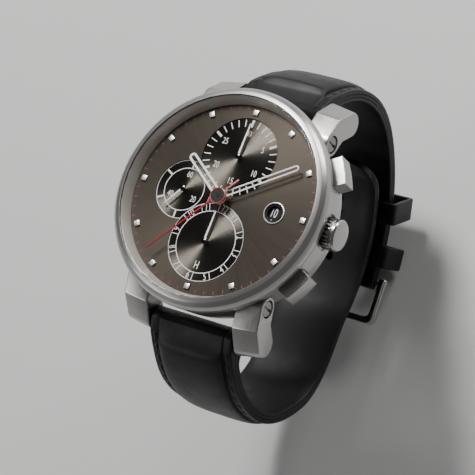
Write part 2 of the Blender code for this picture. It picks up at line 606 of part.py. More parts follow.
def make_coil(name, angle):
    """A short compression spring round the pusher's stem."""
    curve = bpy.data.curves.new(name, 'CURVE')
    curve.dimensions = '3D'
    curve.bevel_depth = SPRING_WIRE * MM
    curve.bevel_resolution = 0
    curve.use_fill_caps = True
    count = 22
    start, end = SPRING_REACH
    spline = curve.splines.new('POLY')
    spline.points.add(count - 1)
    axis = Vector((*polar(1.0, angle), 0.0))
    across = Vector((*polar(1.0, angle + 90.0), 0.0))
    up = Vector((0.0, 0.0, 1.0))
    for i, point in enumerate(spline.points):
        t = i / (count - 1)
        turn = TAU * SPRING_TURNS * t
        along = start + (end - start) * t
        around = (across * math.cos(turn) + up * math.sin(turn)) * SPRING_RADIUS
        place = axis * along + around + up * PUSHER_MIDDLE
        point.co = (*(place * MM), 1.0)
    coil = bpy.data.objects.new(name, curve)
    finish_object(coil, "steel")


# --- dial and hands ---------------------------------------------------------------------------------
def make_dial():
    dial = turned("dial", [(0.0, DIAL_Z), (DIAL_RADIUS, DIAL_Z), (DIAL_RADIUS, DIAL_Z - DIAL_THICKNESS),
                           (0.0, DIAL_Z - DIAL_THICKNESS)], "dial", closed=False)
    for name, radius in SUBDIAL_RADII.items():
        recess = (radius, (*SUBDIALS[name], DIAL_Z - SUBDIAL_DEPTH), (*SUBDIALS[name], DIAL_Z + 1.0))
        cut(dial, rods("recess_" + name, [recess], sides=28))
    holes = [(HOUR_PIPE[1] + 0.1, 0.0, 0.0), (DATE_HOLE, DATE_X, 0.0)]
    holes += [(ARBOR_HOLE, *centre) for centre in SUBDIALS.values()]
    cut(dial, rods("dial_holes", [(size, (x, y, DIAL_Z - 1.0), (x, y, DIAL_Z + 1.0)) for size, x, y in holes]))

    def markers(bm):
        for hour in range(12):
            spin = clock_turn(30.0 * hour)
            place = spin @ Matrix.Translation((0, MARKER_CIRCLE, DIAL_Z + MARKER_HEIGHT / 2 - 0.05))
            size = Matrix.Diagonal((MARKER_SIDE, MARKER_SIDE, MARKER_HEIGHT + 0.1, 1.0))
            bmesh.ops.create_cube(bm, size=1.0, matrix=place @ size)
    join(dial, mesh_object("markers", markers, "silver", CUTTERS, smooth=False))
    ring("date_window_ring", *DATE_RING, "polished", at=(DATE_X, 0.0), sides=20)
    ring("date_disc", *DATE_DISC, "black")


def make_hand(name, outlines, level, angle, finish, centre=(0.0, 0.0)):
    low, high = HANDS_Z[level]
    place = Matrix.Translation((centre[0] * MM, centre[1] * MM, 0.0)) @ clock_turn(angle)
    return plate(name, outlines, low, high, finish, place=place)


def arc_points(radius, start, sweep, steps):
    turns = [start + sweep * i / steps for i in range(steps + 1)]
    return [(radius * math.cos(turn), radius * math.sin(turn)) for turn in turns]


def disc_with_bar(disc, half_width, tip, half_tip, sides=20):
    """A hand's outline: a round boss with a tapering pointer along +Y."""
    lift = math.asin(half_width / disc)
    return [(half_tip, tip), (-half_tip, tip)] + arc_points(disc, math.pi / 2 + lift, TAU - 2 * lift, sides)


def disc_with_tail(disc, half_width, tip, half_tip, tail, sides=20):
    """A round boss with a tapering pointer along +Y and a straight tail of the same width."""
    lift = math.asin(half_width / disc)
    sweep = math.pi - 2 * lift
    left = arc_points(disc, math.pi / 2 + lift, sweep, sides)
    right = arc_points(disc, 3 * math.pi / 2 + lift, sweep, sides)
    return [(half_tip, tip), (-half_tip, tip)] + left + [(-half_width, -tail), (half_width, -tail)] + right


def skeleton_outline(disc, width, length, sides=20):
    """The outer edge of a skeleton hand: a boss, and a bar whose tip is round."""
    half = width / 2.0
    lift = math.asin(half / disc)
    tip = [(x, length - half + y) for x, y in arc_points(half, 0.0, math.pi, 8)]
    return tip + arc_points(disc, math.pi / 2 + lift, TAU - 2 * lift, sides)


def make_hands():
    hour = [skeleton_outline(HOUR_BOSS, HOUR_WIDTH, HOUR_LENGTH), stadium(*HOUR_WINDOW),
            circle(HOUR_PIPE[1] + FIT)]
    make_hand("hour_hand", hour, "hour", HOUR_ANGLE, "white")
    minute = [skeleton_outline(MINUTE_BOSS, MINUTE_WIDTH, MINUTE_LENGTH), stadium(*MINUTE_WINDOW),
              circle(MINUTE_PIPE + FIT)]
    make_hand("minute_hand", minute, "minute", MINUTE_ANGLE, "white")
    needle = disc_with_tail(CHRONO_HUB, CHRONO_HALF, CHRONO_LENGTH, CHRONO_HALF_TIP, CHRONO_TAIL)
    chrono = [needle, circle(CHRONO_ARBOR + FIT, sides=12)]
    make_hand("chrono_seconds_hand", chrono, "chrono", CHRONO_ANGLE, "red")
    outlines = {name: disc_with_bar(COUNTER_HUB, COUNTER_HALF, length, COUNTER_HALF_TIP)
                for name, length in COUNTER_LENGTHS.items()}
    seconds = [outlines["9"], circle(PIVOT_RADIUS + FIT, sides=12)]
    make_hand("small_seconds_hand", seconds, "counter", SECONDS_ANGLE, "white", SUBDIALS["9"])
    for name, subdial in (("minute_counter_hand", "12"), ("hour_counter_hand", "6")):
        centre = SUBDIALS[subdial]
        hand = make_hand(name, [outlines[subdial]], "counter", 0.0, "white", centre)
        arbor = (PIVOT_RADIUS + 0.02, (*centre, ARBOR_Z), (*centre, HANDS_Z["counter"][0] + 0.05))
        pinion = (COUNTER_PINION, (*centre, DATE_DISC[2]), (*centre, DATE_DISC[3]))
        join(hand, rods(name + "_arbor", [arbor], sides=12), rods(name + "_pinion", [pinion], sides=12))


# --- movement ---------------------------------------------------------------------------------------
def wheel(name, at, radius, teeth, rim, finish, pinion=None, arbor=None):
    """A toothed wheel; pinion is (radius, leaves, low, high) and arbor (radius, low, high)."""
    gear = plate(name, [gear_outline(radius, teeth, 0.18)], rim[0], rim[1], finish, at=at)
    if arbor:
        join(gear, rods(name + "_arbor", [(arbor[0], (*at, arbor[1]), (*at, arbor[2]))], sides=12))
    if pinion:
        radius, count, low, high = pinion
        leaves = plate(name + "_pinion", [gear_outline(radius, count, 0.12)], low, high, "steel", at=at,
                       collection=CUTTERS)
        join(gear, leaves)
    return gear


def make_train():
    """The going train: barrel 60 to 10, centre 64 to 8, third 60 to 8, fourth 48 to 8."""
    low, high = PIVOTS_Z
    thin = (PIVOT_RADIUS, low, high)
    wheel("barrel", BARREL_AT, 6.2, 60, (4.9, 6.4), "brass", arbor=(0.3, low, high))
    centre = plate("centre_wheel", [gear_outline(4.55, 64, 0.18), circle(0.45, sides=12)], 6.6, 6.8, "brass")
    pinion = plate("centre_pinion", [gear_outline(0.72, 10, 0.12), circle(CENTRE_BORE, sides=12)], 4.9, 7.5,
                   "steel", collection=CUTTERS)
    join(centre, pinion)
    wheel("third_wheel", THIRD_AT, 3.4, 60, (5.8, 6.0), "brass", (0.52, 8, 6.5, 6.9), (0.22, low, high))
    wheel("fourth_wheel", FOURTH_AT, 3.55, 48, (5.2, 5.4), "brass", (0.52, 8, 5.7, 6.1),
          (PIVOT_RADIUS, low, HANDS_Z["counter"][1] - 0.02))
    wheel("escape_wheel", ESCAPE_AT, 2.0, 15, (6.9, 7.1), "steel", (0.5, 8, 5.1, 5.5), thin)
    wheel("chrono_wheel", (0.0, 0.0), 3.4, 40, (4.66, 4.8), "brass", arbor=(CHRONO_ARBOR, 4.7, 12.1))
    make_motion_work()


def make_motion_work():
    """Under the dial the cannon pinion's 12 leaves drive 36 teeth, and 10 leaves drive the hour wheel's 40."""
    cannon = ring("cannon_pinion", CENTRE_BORE, MINUTE_PIPE, 7.65, 11.65, "steel", sides=16)
    leaves = plate("cannon_leaves", [gear_outline(0.95, 12, 0.12), circle(0.5, sides=14)], *MOTION_Z, "steel",
                   collection=CUTTERS)
    join(cannon, leaves)
    wheel("minute_wheel", MINUTE_WHEEL_AT, 2.1, 36, MOTION_Z, "brass", (0.62, 10, 9.2, 9.5),
          (PIVOT_RADIUS, ARBOR_Z, 9.35))
    hour = plate("hour_wheel", [gear_outline(2.5, 40, 0.18), circle(1.0)], *HOUR_WHEEL_Z, "brass")
    pipe = ring("hour_pipe", *HOUR_PIPE, HOUR_WHEEL_Z[0] - 0.03, 11.15, "brass", sides=16, collection=CUTTERS)
    join(hour, pipe)


def make_escapement():
    fork_turn = math.atan2(BALANCE_AT[1] - PALLET_AT[1], BALANCE_AT[0] - PALLET_AT[0])
    reach = math.dist(BALANCE_AT, PALLET_AT) - 0.55
    lever = [(-0.25, -1.3), (-0.75, -1.5), (-0.8, -1.2), (-0.35, -0.3), (-0.35, 0.3), (-0.8, 1.2), (-0.75, 1.5),
             (-0.25, 1.3), (0.3, 0.3), (reach - 0.4, 0.12), (reach, 0.35), (reach, 0.15), (reach - 0.25, 0.0),
             (reach, -0.15), (reach, -0.35), (reach - 0.4, -0.12), (0.3, -0.3)]
    fork = plate("pallet_fork", [at_angle(lever[::-1], fork_turn)], 6.6, 6.78, "steel", at=PALLET_AT)
    join(fork, pivot_arbor("pallet_arbor", PALLET_AT))
    spokes = [circle(1.05, polar(2.2, 120.0 * i + 7.0), sides=12) for i in range(3)]
    outlines = [circle(BALANCE_RADIUS, sides=32)] + spokes
    balance = plate("balance_wheel", outlines, 5.9, 6.2, "brass", at=BALANCE_AT)
    join(balance, pivot_arbor("balance_staff", BALANCE_AT))
    make_hairspring()


def pivot_arbor(name, at):
    return rods(name, [(PIVOT_RADIUS, (*at, PIVOTS_Z[0]), (*at, PIVOTS_Z[1]))])


def make_hairspring():
    inner, outer = HAIRSPRING_RADII
    curve = bpy.data.curves.new("hairspring", 'CURVE')
    curve.dimensions = '3D'
    curve.bevel_depth = HAIRSPRING_WIRE * MM
    curve.bevel_resolution = 0
    curve.use_fill_caps = True
    count = 44
    spline = curve.splines.new('POLY')
    spline.points.add(count - 1)
    for i, point in enumerate(spline.points):
        t = i / (count - 1)
        radius = inner + (outer - inner) * t
        x, y = polar(radius, 360.0 * HAIRSPRING_TURNS * t)
        point.co = ((BALANCE_AT[0] + x) * MM, (BALANCE_AT[1] + y) * MM, HAIRSPRING_Z * MM, 1.0)
    finish_object(bpy.data.objects.new("hairspring", curve), "blued")


def make_plates():
    main = ring("main_plate", MINUTE_PIPE + 0.07, PLATE_RADIUS, *PLATE_Z, "nickel")
    pillars = []
    for angle in PILLAR_ANGLES:
        turn = math.radians(angle)
        x, y = PILLAR_AT * math.cos(turn), PILLAR_AT * math.sin(turn)
        pillars.append((PILLAR_RADIUS, (x, y, BRIDGE_Z[1] + 0.03), (x, y, PLATE_Z[0] + 0.4)))
    join(main, rods("pillars", pillars))
    blind = []
    for at in (BARREL_AT, THIRD_AT, ESCAPE_AT, BALANCE_AT, PALLET_AT):
        blind.append((ARBOR_HOLE + 0.05, (*at, 7.0), (*at, 8.1)))
    blind.append((ARBOR_HOLE, (*FOURTH_AT, 7.0), (*FOURTH_AT, DIAL_Z)))
    for at in (SUBDIALS["12"], SUBDIALS["6"], MINUTE_WHEEL_AT):
        blind.append((ARBOR_HOLE, (*at, 8.1), (*at, DIAL_Z)))
    cut(main, rods("plate_holes", blind, sides=12))

    low, high = BRIDGE_Z
    post_foot = ROTOR_Z[0] - 0.05
    bridge = turned("train_bridge", [(0.0, high), (PLATE_RADIUS, high), (PLATE_RADIUS, low), (ROTOR_POST, low),
                                     (ROTOR_POST, post_foot), (0.0, post_foot)], "nickel", closed=False)
    opening = (BALANCE_OPENING, (*BALANCE_AT, 3.0), (*BALANCE_AT, 5.0))
    cut(bridge, rods("balance_opening", [opening], sides=32))
    foot_x, foot_y = COCK_FOOT
    cut(bridge, box("cock_opening", (foot_x - 3.5, foot_y - 1.9, 3.0), (foot_x + 1.6, foot_y + 1.6, 5.0),
                    collection=CUTTERS))
    seats = [(ARBOR_HOLE + 0.05, (*at, 4.0), (*at, 5.0)) for at in (BARREL_AT, THIRD_AT, FOURTH_AT, ESCAPE_AT)]
    cut(bridge, rods("bridge_holes", seats, sides=12))

    run = (foot_x - BALANCE_AT[0], foot_y - BALANCE_AT[1])
    lean = math.atan2(run[1], run[0]) - math.pi / 2
    bar = at_angle(stadium(COCK_HALF, -COCK_HALF, math.hypot(*run) + 1.1), lean)
    cock = plate("balance_cock", [bar, circle(ARBOR_HOLE, sides=12)], *BRIDGE_Z, "nickel", at=BALANCE_AT)
    join(cock, rods("cock_foot", [(COCK_FOOT_RADIUS, (*COCK_FOOT, 4.5), (*COCK_FOOT, PLATE_Z[0] - 0.03))]))


def make_rotor():
    """A half disc that swings under the movement, with a curved window in it."""
    inner, outer = ROTOR_WINDOW
    rim = arc_points(ROTOR_RADIUS, math.pi, math.pi, 24)
    window = arc_points(outer, math.pi + 0.5, math.pi - 1.0, 16)
    window += arc_points(inner, TAU - 0.5, 1.0 - math.pi, 12)
    outline = rim + [(2.4, 1.2), (0.0, 1.8), (-2.4, 1.2)]
    plate("rotor", [outline, circle(ROTOR_BORE), window], *ROTOR_Z, "steel")


# --- strap ------------------------------------------------------------------------------------------
def loop_normal(turn):
    angle = math.radians(turn)
    return Vector((math.sin(angle) / LOOP_Y, math.cos(angle) / LOOP_Z)).normalized()


def loop_point(turn, depth):
    """A point of the strap loop, depth inside its outer surface; turn runs from the top towards +Y."""
    angle = math.radians(turn)
    y, z = LOOP_Y * math.sin(angle), LOOP_Z * math.cos(angle)
    normal = loop_normal(turn)
    return y - normal.x * depth, LOOP_CENTRE_Z + z - normal.y * depth


def ease(value):
    value = max(0.0, min(1.0, value))
    return value * value * (3.0 - 2.0 * value)


def strap_outline(side, end_turn, is_tail):
    """The strap's side view from its lug bar round the loop; a tail is drawn inside the loop."""
    outer, inner = [], []
    steps = 22
    leaves, arrives = TAIL_LEAVES
    for i in range(steps + 1):
        turn = HEAD_TURN + (end_turn - HEAD_TURN) * i / steps
        thick = STRAP_THICK + (STRAP_THIN - STRAP_THICK) * ease((turn - HEAD_TURN) / THICK_TURNS)
        shift = 0.0
        if is_tail:
            into_tail = ease((turn - leaves) / (arrives - leaves))
            shift = TAIL_INSET * into_tail
            thick += (TAIL_THICK - STRAP_THIN) * into_tail
            thick *= 1.0 - (1.0 - TAIL_TIP) * ease((turn - end_turn + 6.0) / 6.0)
        outer.append(loop_point(turn, shift))
        if i:
            inner.append(loop_point(turn, shift + thick))
    head = [(BAR_Y - 1.0, BAR_Z + 2.2), (BAR_Y - 0.2, BAR_Z + 3.6), (BAR_Y + 0.9, BAR_Z + 3.85)]
    turns = [math.radians(270 - 19 * i) for i in range(6)]
    nose = [(BAR_Y + NOSE * math.cos(turn), BAR_Z + NOSE * math.sin(turn)) for turn in turns]
    return [(side * y, z) for y, z in outer + inner[::-1] + nose + head]


def taper(item):
    """Narrows a strap half from the lug width to the buckle width below the loop's middle."""
    high, low = NARROWS_Z
    for vertex in item.data.vertices:
        fall = ease((high - vertex.co.z / MM) / (high - low))
        half = STRAP_HALF + (STRAP_TIP_HALF - STRAP_HALF) * fall
        vertex.co.x *= half / STRAP_HALF


def across(name, radius, at, half, sides=SMALL_ROUND):
    """A tool for a hole through the strap's width at a (y, z) point."""
    return rods(name, [(radius, (-half, *at), (half, *at))], sides=sides)


def make_strap():
    outline_12, outline_6 = strap_outline(1, BUCKLE_TURN + 2.0, False), strap_outline(-1, TAIL_TURN, True)
    half_12 = plate("strap_12", [outline_12], -STRAP_HALF, STRAP_HALF, "leather", place=SIDE_ON)
    half_6 = plate("strap_6", [outline_6], -STRAP_HALF, STRAP_HALF, "leather", place=SIDE_ON)
    for item, side in ((half_12, 1), (half_6, -1)):
        taper(item)
        cut(item, across(item.name + "_bar_hole", BAR_HOLE, (side * BAR_Y, BAR_Z), STRAP_BORE, sides=20))
    bar_at = loop_point(BUCKLE_TURN, STRAP_THIN / 2.0)
    cut(half_12, across("buckle_bar_hole", BAR_RADIUS, bar_at, STRAP_BORE))
    cut(half_12, box("tongue_slit", (-SLIT_HALF, bar_at[0] - 4.0, bar_at[1] - 4.0),
                     (SLIT_HALF, bar_at[0] + 2.2, bar_at[1] + 4.0), collection=CUTTERS))
    holes = []
    for i in range(BUCKLE_HOLES):
        turn = FIRST_HOLE + HOLE_PITCH * i
        near, far = loop_point(turn, TAIL_INSET - 2.0), loop_point(turn, TAIL_INSET + 6.0)
        holes.append((HOLE_RADIUS, (0.0, -near[0], near[1]), (0.0, -far[0], far[1])))
    cut(half_6, rods("buckle_holes", holes, sides=10))
    make_buckle(bar_at)
    make_keepers()


def tangent_frame(turn, depth):
    """A frame on the 12 side of the loop: local X across, Y onwards round the loop, Z outwards."""
    normal = loop_normal(turn)
    ahead = Vector((normal.y, -normal.x))
    y, z = loop_point(turn, depth)
    frame = Matrix(((1, 0, 0, 0), (0, ahead.x, normal.x, y * MM), (0, ahead.y, normal.y, z * MM), (0, 0, 0, 1)))
    return Matrix.Diagonal((-1, 1, 1, 1)) @ frame


def make_buckle(bar_at):
    frame = tangent_frame(BUCKLE_TURN, STRAP_THIN / 2.0)
    wide, long = BUCKLE_OUTER
    narrow, short = BUCKLE_INNER
    left = [(-wide + 2.0, long), (-wide + 0.6, long - 0.6), (-wide, long - 2.0), (-wide, BUCKLE_FOOT),
            (-narrow, BUCKLE_FOOT), (-narrow, short - 1.0), (-narrow + 1.0, short)]
    right = [(-x, y) for x, y in left[::-1]]
    outline = right[3:] + left + right[:3]
    buckle = plate("buckle_frame", [outline], -BUCKLE_HALF, BUCKLE_HALF, "steel", place=frame)
    soften(buckle, 0.3, segments=1)
    cut(buckle, across("frame_bar_holes", BUCKLE_BAR_BORE, bar_at, BUCKLE_BAR_HALF + 0.1))
    rod("buckle_bar", BUCKLE_BAR, (-BUCKLE_BAR_HALF, *bar_at), (BUCKLE_BAR_HALF, *bar_at), "polished")
    tongue = plate("buckle_tongue", [TONGUE_SIDE, circle(TONGUE_BORE)], -TONGUE_HALF, TONGUE_HALF, "steel",
                   place=frame @ SIDE_ON)
    soften(tongue, 0.12, segments=1)


def make_keepers():
    """Two leather loops round the strap, with room for the tail."""
    half_in, gap_in = KEEPER_IN
    half_out, gap_out = KEEPER_OUT
    low, high = -STRAP_THIN / 2.0, STRAP_THIN / 2.0 + TAIL_THICK
    cross = Matrix(((1, 0, 0, 0), (0, 0, -1, 0), (0, 1, 0, 0), (0, 0, 0, 1)))
    outer, inner = [], []
    for outline, half, gap in ((outer, half_out, gap_out), (inner, half_in, gap_in)):
        outline += [(half, low - gap), (half, high + gap), (-half, high + gap), (-half, low - gap)]
    for name, turn in KEEPER_TURNS.items():
        place = tangent_frame(turn, STRAP_THIN / 2.0) @ cross
        keeper = plate(name, [outer, inner], -KEEPER_WIDTH / 2.0, KEEPER_WIDTH / 2.0, "leather", place=place)
        soften(keeper, 0.25, segments=1)


make_case()
make_bezel_and_glass()
make_back()
make_movement_ring()
make_lugs()
make_crown()
make_pushers()
make_dial()
make_hands()
make_train()
make_escapement()
make_plates()
make_rotor()
make_strap()
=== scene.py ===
import math

import bmesh
import bpy
from mathutils import Matrix, Vector


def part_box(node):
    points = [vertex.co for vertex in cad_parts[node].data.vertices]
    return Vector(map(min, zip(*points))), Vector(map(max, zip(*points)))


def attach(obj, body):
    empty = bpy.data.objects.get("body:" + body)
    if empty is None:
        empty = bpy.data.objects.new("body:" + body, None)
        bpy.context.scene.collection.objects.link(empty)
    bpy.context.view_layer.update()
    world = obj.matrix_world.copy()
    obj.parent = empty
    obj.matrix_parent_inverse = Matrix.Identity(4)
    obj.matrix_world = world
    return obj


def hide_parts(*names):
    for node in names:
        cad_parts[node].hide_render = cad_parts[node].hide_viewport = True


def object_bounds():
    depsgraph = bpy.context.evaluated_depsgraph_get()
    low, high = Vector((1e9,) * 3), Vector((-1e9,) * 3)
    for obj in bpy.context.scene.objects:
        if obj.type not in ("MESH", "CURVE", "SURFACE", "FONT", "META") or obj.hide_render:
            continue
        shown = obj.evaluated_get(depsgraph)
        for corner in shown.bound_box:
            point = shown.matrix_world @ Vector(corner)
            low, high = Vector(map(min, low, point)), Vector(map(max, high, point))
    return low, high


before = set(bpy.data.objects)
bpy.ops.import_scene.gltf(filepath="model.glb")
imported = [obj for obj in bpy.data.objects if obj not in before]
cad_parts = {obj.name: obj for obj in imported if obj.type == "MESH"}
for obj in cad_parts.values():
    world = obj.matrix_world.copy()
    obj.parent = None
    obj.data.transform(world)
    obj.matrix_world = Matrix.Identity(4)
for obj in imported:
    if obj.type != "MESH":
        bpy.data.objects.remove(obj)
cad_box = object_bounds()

MM = 0.001
TAU = 2.0 * math.pi
FINE = 240                 # sides of the large turned pieces
MEDIUM = 96


def node_size(node):
    """Lowest and highest corner of a CAD node, in millimetres."""
    low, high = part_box(node)
    return Vector(low) / MM, Vector(high) / MM


# --- dimensions in millimetres, from the frame where it holds them
DIAL_Z = 10.0
DIAL_THICK = 0.4
DIAL_RADIUS = node_size("dial")[1].x
BEZEL_RADIUS = node_size("bezel")[1].x
CRYSTAL_LOW, CRYSTAL_HIGH = node_size("crystal")[0].z, node_size("crystal")[1].z
CRYSTAL_RADIUS = node_size("crystal")[1].x
CASE_TOP = node_size("case_middle")[1].z
SUBDIAL_OFFSET = 8.6
SUBDIALS = {"12": ((0.0, SUBDIAL_OFFSET), 7.8), "6": ((0.0, -SUBDIAL_OFFSET), 7.76),
            "9": ((-SUBDIAL_OFFSET, 0.0), 5.87)}
SUBDIAL_Z = DIAL_Z - 0.2
ARBOR_HOLE = 0.33
MARKER_CIRCLE, MARKER_HALF, MARKER_HEIGHT = 17.6, 0.5, 0.35
RED_TRACK, PRINT_THICK, PRINT_LIFT = (18.0, 18.65), 0.012, 0.008
DATE_X, DATE_HOLE, DATE_RING = 11.4, 1.4, (1.42, 1.9, 2.1)
DATE_DISC, DATE_DISC_Z = (9.4, 13.6), (9.17, 9.4)
SHOWN_DAY, DAYS = 10, 31
HANDS_Z = {"counter": (10.45, 10.6), "hour": (10.95, 11.12), "minute": (11.42, 11.58), "chrono": (11.9, 12.1)}
HOUR_ANGLE, MINUTE_ANGLE, CHRONO_ANGLE, SECONDS_ANGLE = 305.5, 56.0, 218.0, 214.0
HOUR_LENGTH, MINUTE_LENGTH, CHRONO_LENGTH, CHRONO_TAIL = 11.4, 16.4, 16.7, 4.9
HUB_RADIUS = 1.6
PIVOT_Y, PIVOT_Z = 16.57, 5.16
BAR_Y, BAR_Z = 22.4, 0.7
BAR_HOLE, BUCKLE_BAR_HOLE = 0.82, 0.72
LUG_INNER, LUG_OUTER = 9.5, 14.9
LUG_KNEE = (19.9, 3.9)
LUG_HALF, CREASE_ROUND, HOLLOW_ROUND = 2.35, 0.7, 1.0
LUG_FLARE, LUG_FLARE_Y = 0.9, (18.0, 24.0)
LUG_CLIP = 20.5            # the case side that the lugs are cut to
LUG_SLOT_X, LUG_SLOT_Z, LUG_SLOT_END = (11.75, 13.6), (PIVOT_Z - 1.74, PIVOT_Z + 1.72), 18.3
NOTCH_Y, NOTCH_Z, NOTCH_X = (12.0, 24.0), (1.0, 7.75), (LUG_INNER - 0.15, 17.0)
NOTCH_CORE, EAR_CORE = 20.0, 19.7
EAR_RADIUS, EAR_X = 1.6, (11.85, 13.5)
SCREW_HEAD, SCREW_SHANK, SCREW_X = 1.54, 0.8, (12.05, 13.97, 14.72)    # shank's end, shoulder, head
CROWN_Z = 6.1
CROWN_RADIUS = 3.0
CROWN_X = (20.9, 22.85, 23.9, 24.25)     # inner end, end of the flutes, rim and top of the dome
CROWN_FLUTES, FLUTE_DEPTH, FLUTE_STEPS = 24, 0.45, 10
CROWN_SEAT = ((20.3, 3.5), (21.3, 3.5), (26.0, 4.4))     # distance and radius of the recess in the case
PUSHERS = {"start": 60.0, "reset": 120.0}
PUSHER_HALF, PUSHER_REACH = 2.9, (20.95, 23.8)
PUSHER_Z = (4.3, 7.9)
PUSHER_MIDDLE = sum(PUSHER_Z) / 2.0
PUSHER_POCKET = 19.98
PUSHER_GAP = 0.1
FAR_OUT = 26.0             # cutting tools end out here
STRAP_HALF, STRAP_TIP_HALF = 9.2, 8.0
NARROWS_Z = (-12.0, -38.0)
LOOP_CENTRE_Z, LOOP_Y, LOOP_Z = -17.0, 34.9, 31.0
STRAP_THICK, STRAP_THIN, TAIL_THICK = 5.6, 3.3, 2.7
TAIL_INSET = 7.0
EDGE_THICK = 2.3           # the strap's unpadded edge
BUCKLE_TURN, TAIL_TURN = 173.0, 240.0
HEAD_TURN, BODY_TURN = 46.0, 51.0        # the loop angles of the lugs and of the first evenly spaced section
TAIL_LEAVES = (128.0, 170.0)
HOLES, FIRST_HOLE, HOLE_PITCH, HOLE_RADIUS = 6, 192.0, 7.0, 0.9
STITCH_PITCH, STITCH_LENGTH, STITCH_INSET = 2.6, 1.9, 1.15
KEEPERS = {"fixed_keeper": 163.0, "free_keeper": 146.0}
KEEPER_HALF, KEEPER_WALL, KEEPER_SIDE, KEEPER_WIDTH, KEEPER_GAP = 10.1, 0.8, 0.95, 4.5, 1.1


# --- finishes
class Finish:
    """A procedural material: a Principled shader whose colour, roughness and bump follow one grain."""

    def __init__(self, name, slot, colour, rough, metallic=1.0, grain="cloud", scale=1.0,
                 centre=(0.0, 0.0, 0.0), axis="Z", vary=0.06, spread=0.08, depth=0.0, anisotropy=0.0,
                 **sockets):
        self.slot = slot
        self.material = bpy.data.materials.new(name)
        self.material.use_nodes = True
        self.tree = self.material.node_tree
        self.shader = self.tree.nodes["Principled BSDF"]
        self.shader.inputs["Metallic"].default_value = metallic
        self.shader.inputs["Anisotropic"].default_value = anisotropy
        for socket, value in sockets.items():
            self.shader.inputs[socket.replace("_", " ")].default_value = value
        self.centre, self.axis = centre, axis
        self.place()
        noise = self.noise(grain, scale if isinstance(scale, tuple) else (scale,) * 3)
        self.colour_from(noise, colour, vary)
        self.to_input("Roughness", self.remap(noise, rough - spread, rough + spread))
        if depth:
            bump = self.node("ShaderNodeBump", Height=noise, Strength=0.6, Distance=depth * MM)
            self.to_input("Normal", bump.outputs["Normal"])
        if anisotropy:
            self.to_input("Tangent", self.outwards())

    def node(self, kind, operation=None, **inputs):
        made = self.tree.nodes.new(kind)
        if operation:
            made.operation = operation
        for name, value in inputs.items():
            key = int(name[1:]) if name[0] == "_" else name.replace("_", " ")
            socket = made.inputs[key]
            if isinstance(value, bpy.types.NodeSocket):
                self.tree.links.new(value, socket)
            else:
                socket.default_value = value
        return made

    def maths(self, operation, first, second=0.0):
        return self.node("ShaderNodeMath", operation, _0=first, _1=second).outputs[0]

    def to_input(self, name, value):
        self.tree.links.new(value, self.shader.inputs[name])

    def place(self):
        """The surface point in millimetres from the grain's centre: along, across and height."""
        point = self.node("ShaderNodeTexCoord").outputs["Object"]
        scaled = self.node("ShaderNodeVectorMath", 'SCALE', _0=point, Scale=1.0 / MM).outputs[0]
        shifted = self.node("ShaderNodeVectorMath", 'SUBTRACT', _0=scaled, _1=self.centre).outputs[0]
        parts = self.node("ShaderNodeSeparateXYZ", _0=shifted)
        order = {"Z": (0, 1, 2), "X": (1, 2, 0)}[self.axis]
        self.a, self.b, self.c = (parts.outputs[i] for i in order)
        self.point = shifted
        square = self.maths('ADD', self.maths('MULTIPLY', self.a, self.a),
                            self.maths('MULTIPLY', self.b, self.b))
        self.radius = self.maths('MAXIMUM', self.maths('SQRT', square), 0.001)
        self.cosine = self.maths('DIVIDE', self.a, self.radius)
        self.sine = self.maths('DIVIDE', self.b, self.radius)

    def noise(self, grain, scale):
        """Grain: cloud and straight stretch the point, round follows circles, sunray follows radii."""
        made = self.node("ShaderNodeTexNoise", Scale=1.0, Detail=4.0, Roughness=0.6)
        if grain in ("cloud", "straight"):
            stretched = self.node("ShaderNodeVectorMath", 'MULTIPLY', _0=self.point, _1=scale).outputs[0]
            self.tree.links.new(stretched, made.inputs["Vector"])
            return made.outputs["Fac"]
        made.noise_dimensions = '4D'
        x = self.maths('MULTIPLY', self.radius, scale[0])
        y = self.maths('MULTIPLY', self.cosine, scale[1])
        z = self.maths('MULTIPLY', self.c, scale[2])
        w = self.maths('MULTIPLY', self.sine, scale[1])
        vector = self.node("ShaderNodeCombineXYZ", _0=x, _1=y, _2=z).outputs[0]
        self.tree.links.new(vector, made.inputs["Vector"])
        self.tree.links.new(w, made.inputs["W"])
        return made.outputs["Fac"]

    def remap(self, value, low, high):
        made = self.node("ShaderNodeMapRange", _0=value, _1=0.25, _2=0.75, _3=low, _4=high)
        return made.outputs[0]

    def colour_from(self, noise, colour, vary):
        dark = tuple(c * (1.0 - vary) for c in colour)
        light = tuple(min(1.0, c * (1.0 + vary)) for c in colour)
        ramp = self.node("ShaderNodeValToRGB", _0=noise)
        ramp.color_ramp.elements[0].position = 0.3
        ramp.color_ramp.elements[1].position = 0.7
        ramp.color_ramp.elements[0].color = (*dark, 1.0)
        ramp.color_ramp.elements[1].color = (*light, 1.0)
        self.to_input("Base Color", ramp.outputs["Color"])

    def outwards(self):
        """The direction in which a highlight spreads: away from the centre."""
        vector = self.node("ShaderNodeCombineXYZ", _0=self.cosine, _1=self.sine, _2=0.0)
        turned = self.node("ShaderNodeVectorTransform", _0=vector.outputs[0])
        turned.vector_type = 'VECTOR'
        turned.convert_from, turned.convert_to = 'OBJECT', 'WORLD'
        return turned.outputs[0]


STEEL = (0.46, 0.45, 0.435)
BRIGHT = (0.6, 0.59, 0.575)
ANTHRACITE = (0.062, 0.056, 0.047)
FINISHES = {}


def metal(key, name, slot="case_steel", colour=STEEL, rough=0.3, **more):
    FINISHES[key] = Finish(name, slot, colour, rough, **more)


def paint(key, name, slot, colour, rough, scale, spread, vary, **more):
    """A matt or glossy coat without metal."""
    FINISHES[key] = Finish(name, slot, colour, rough, 0.0, scale=scale, spread=spread, vary=vary, **more)


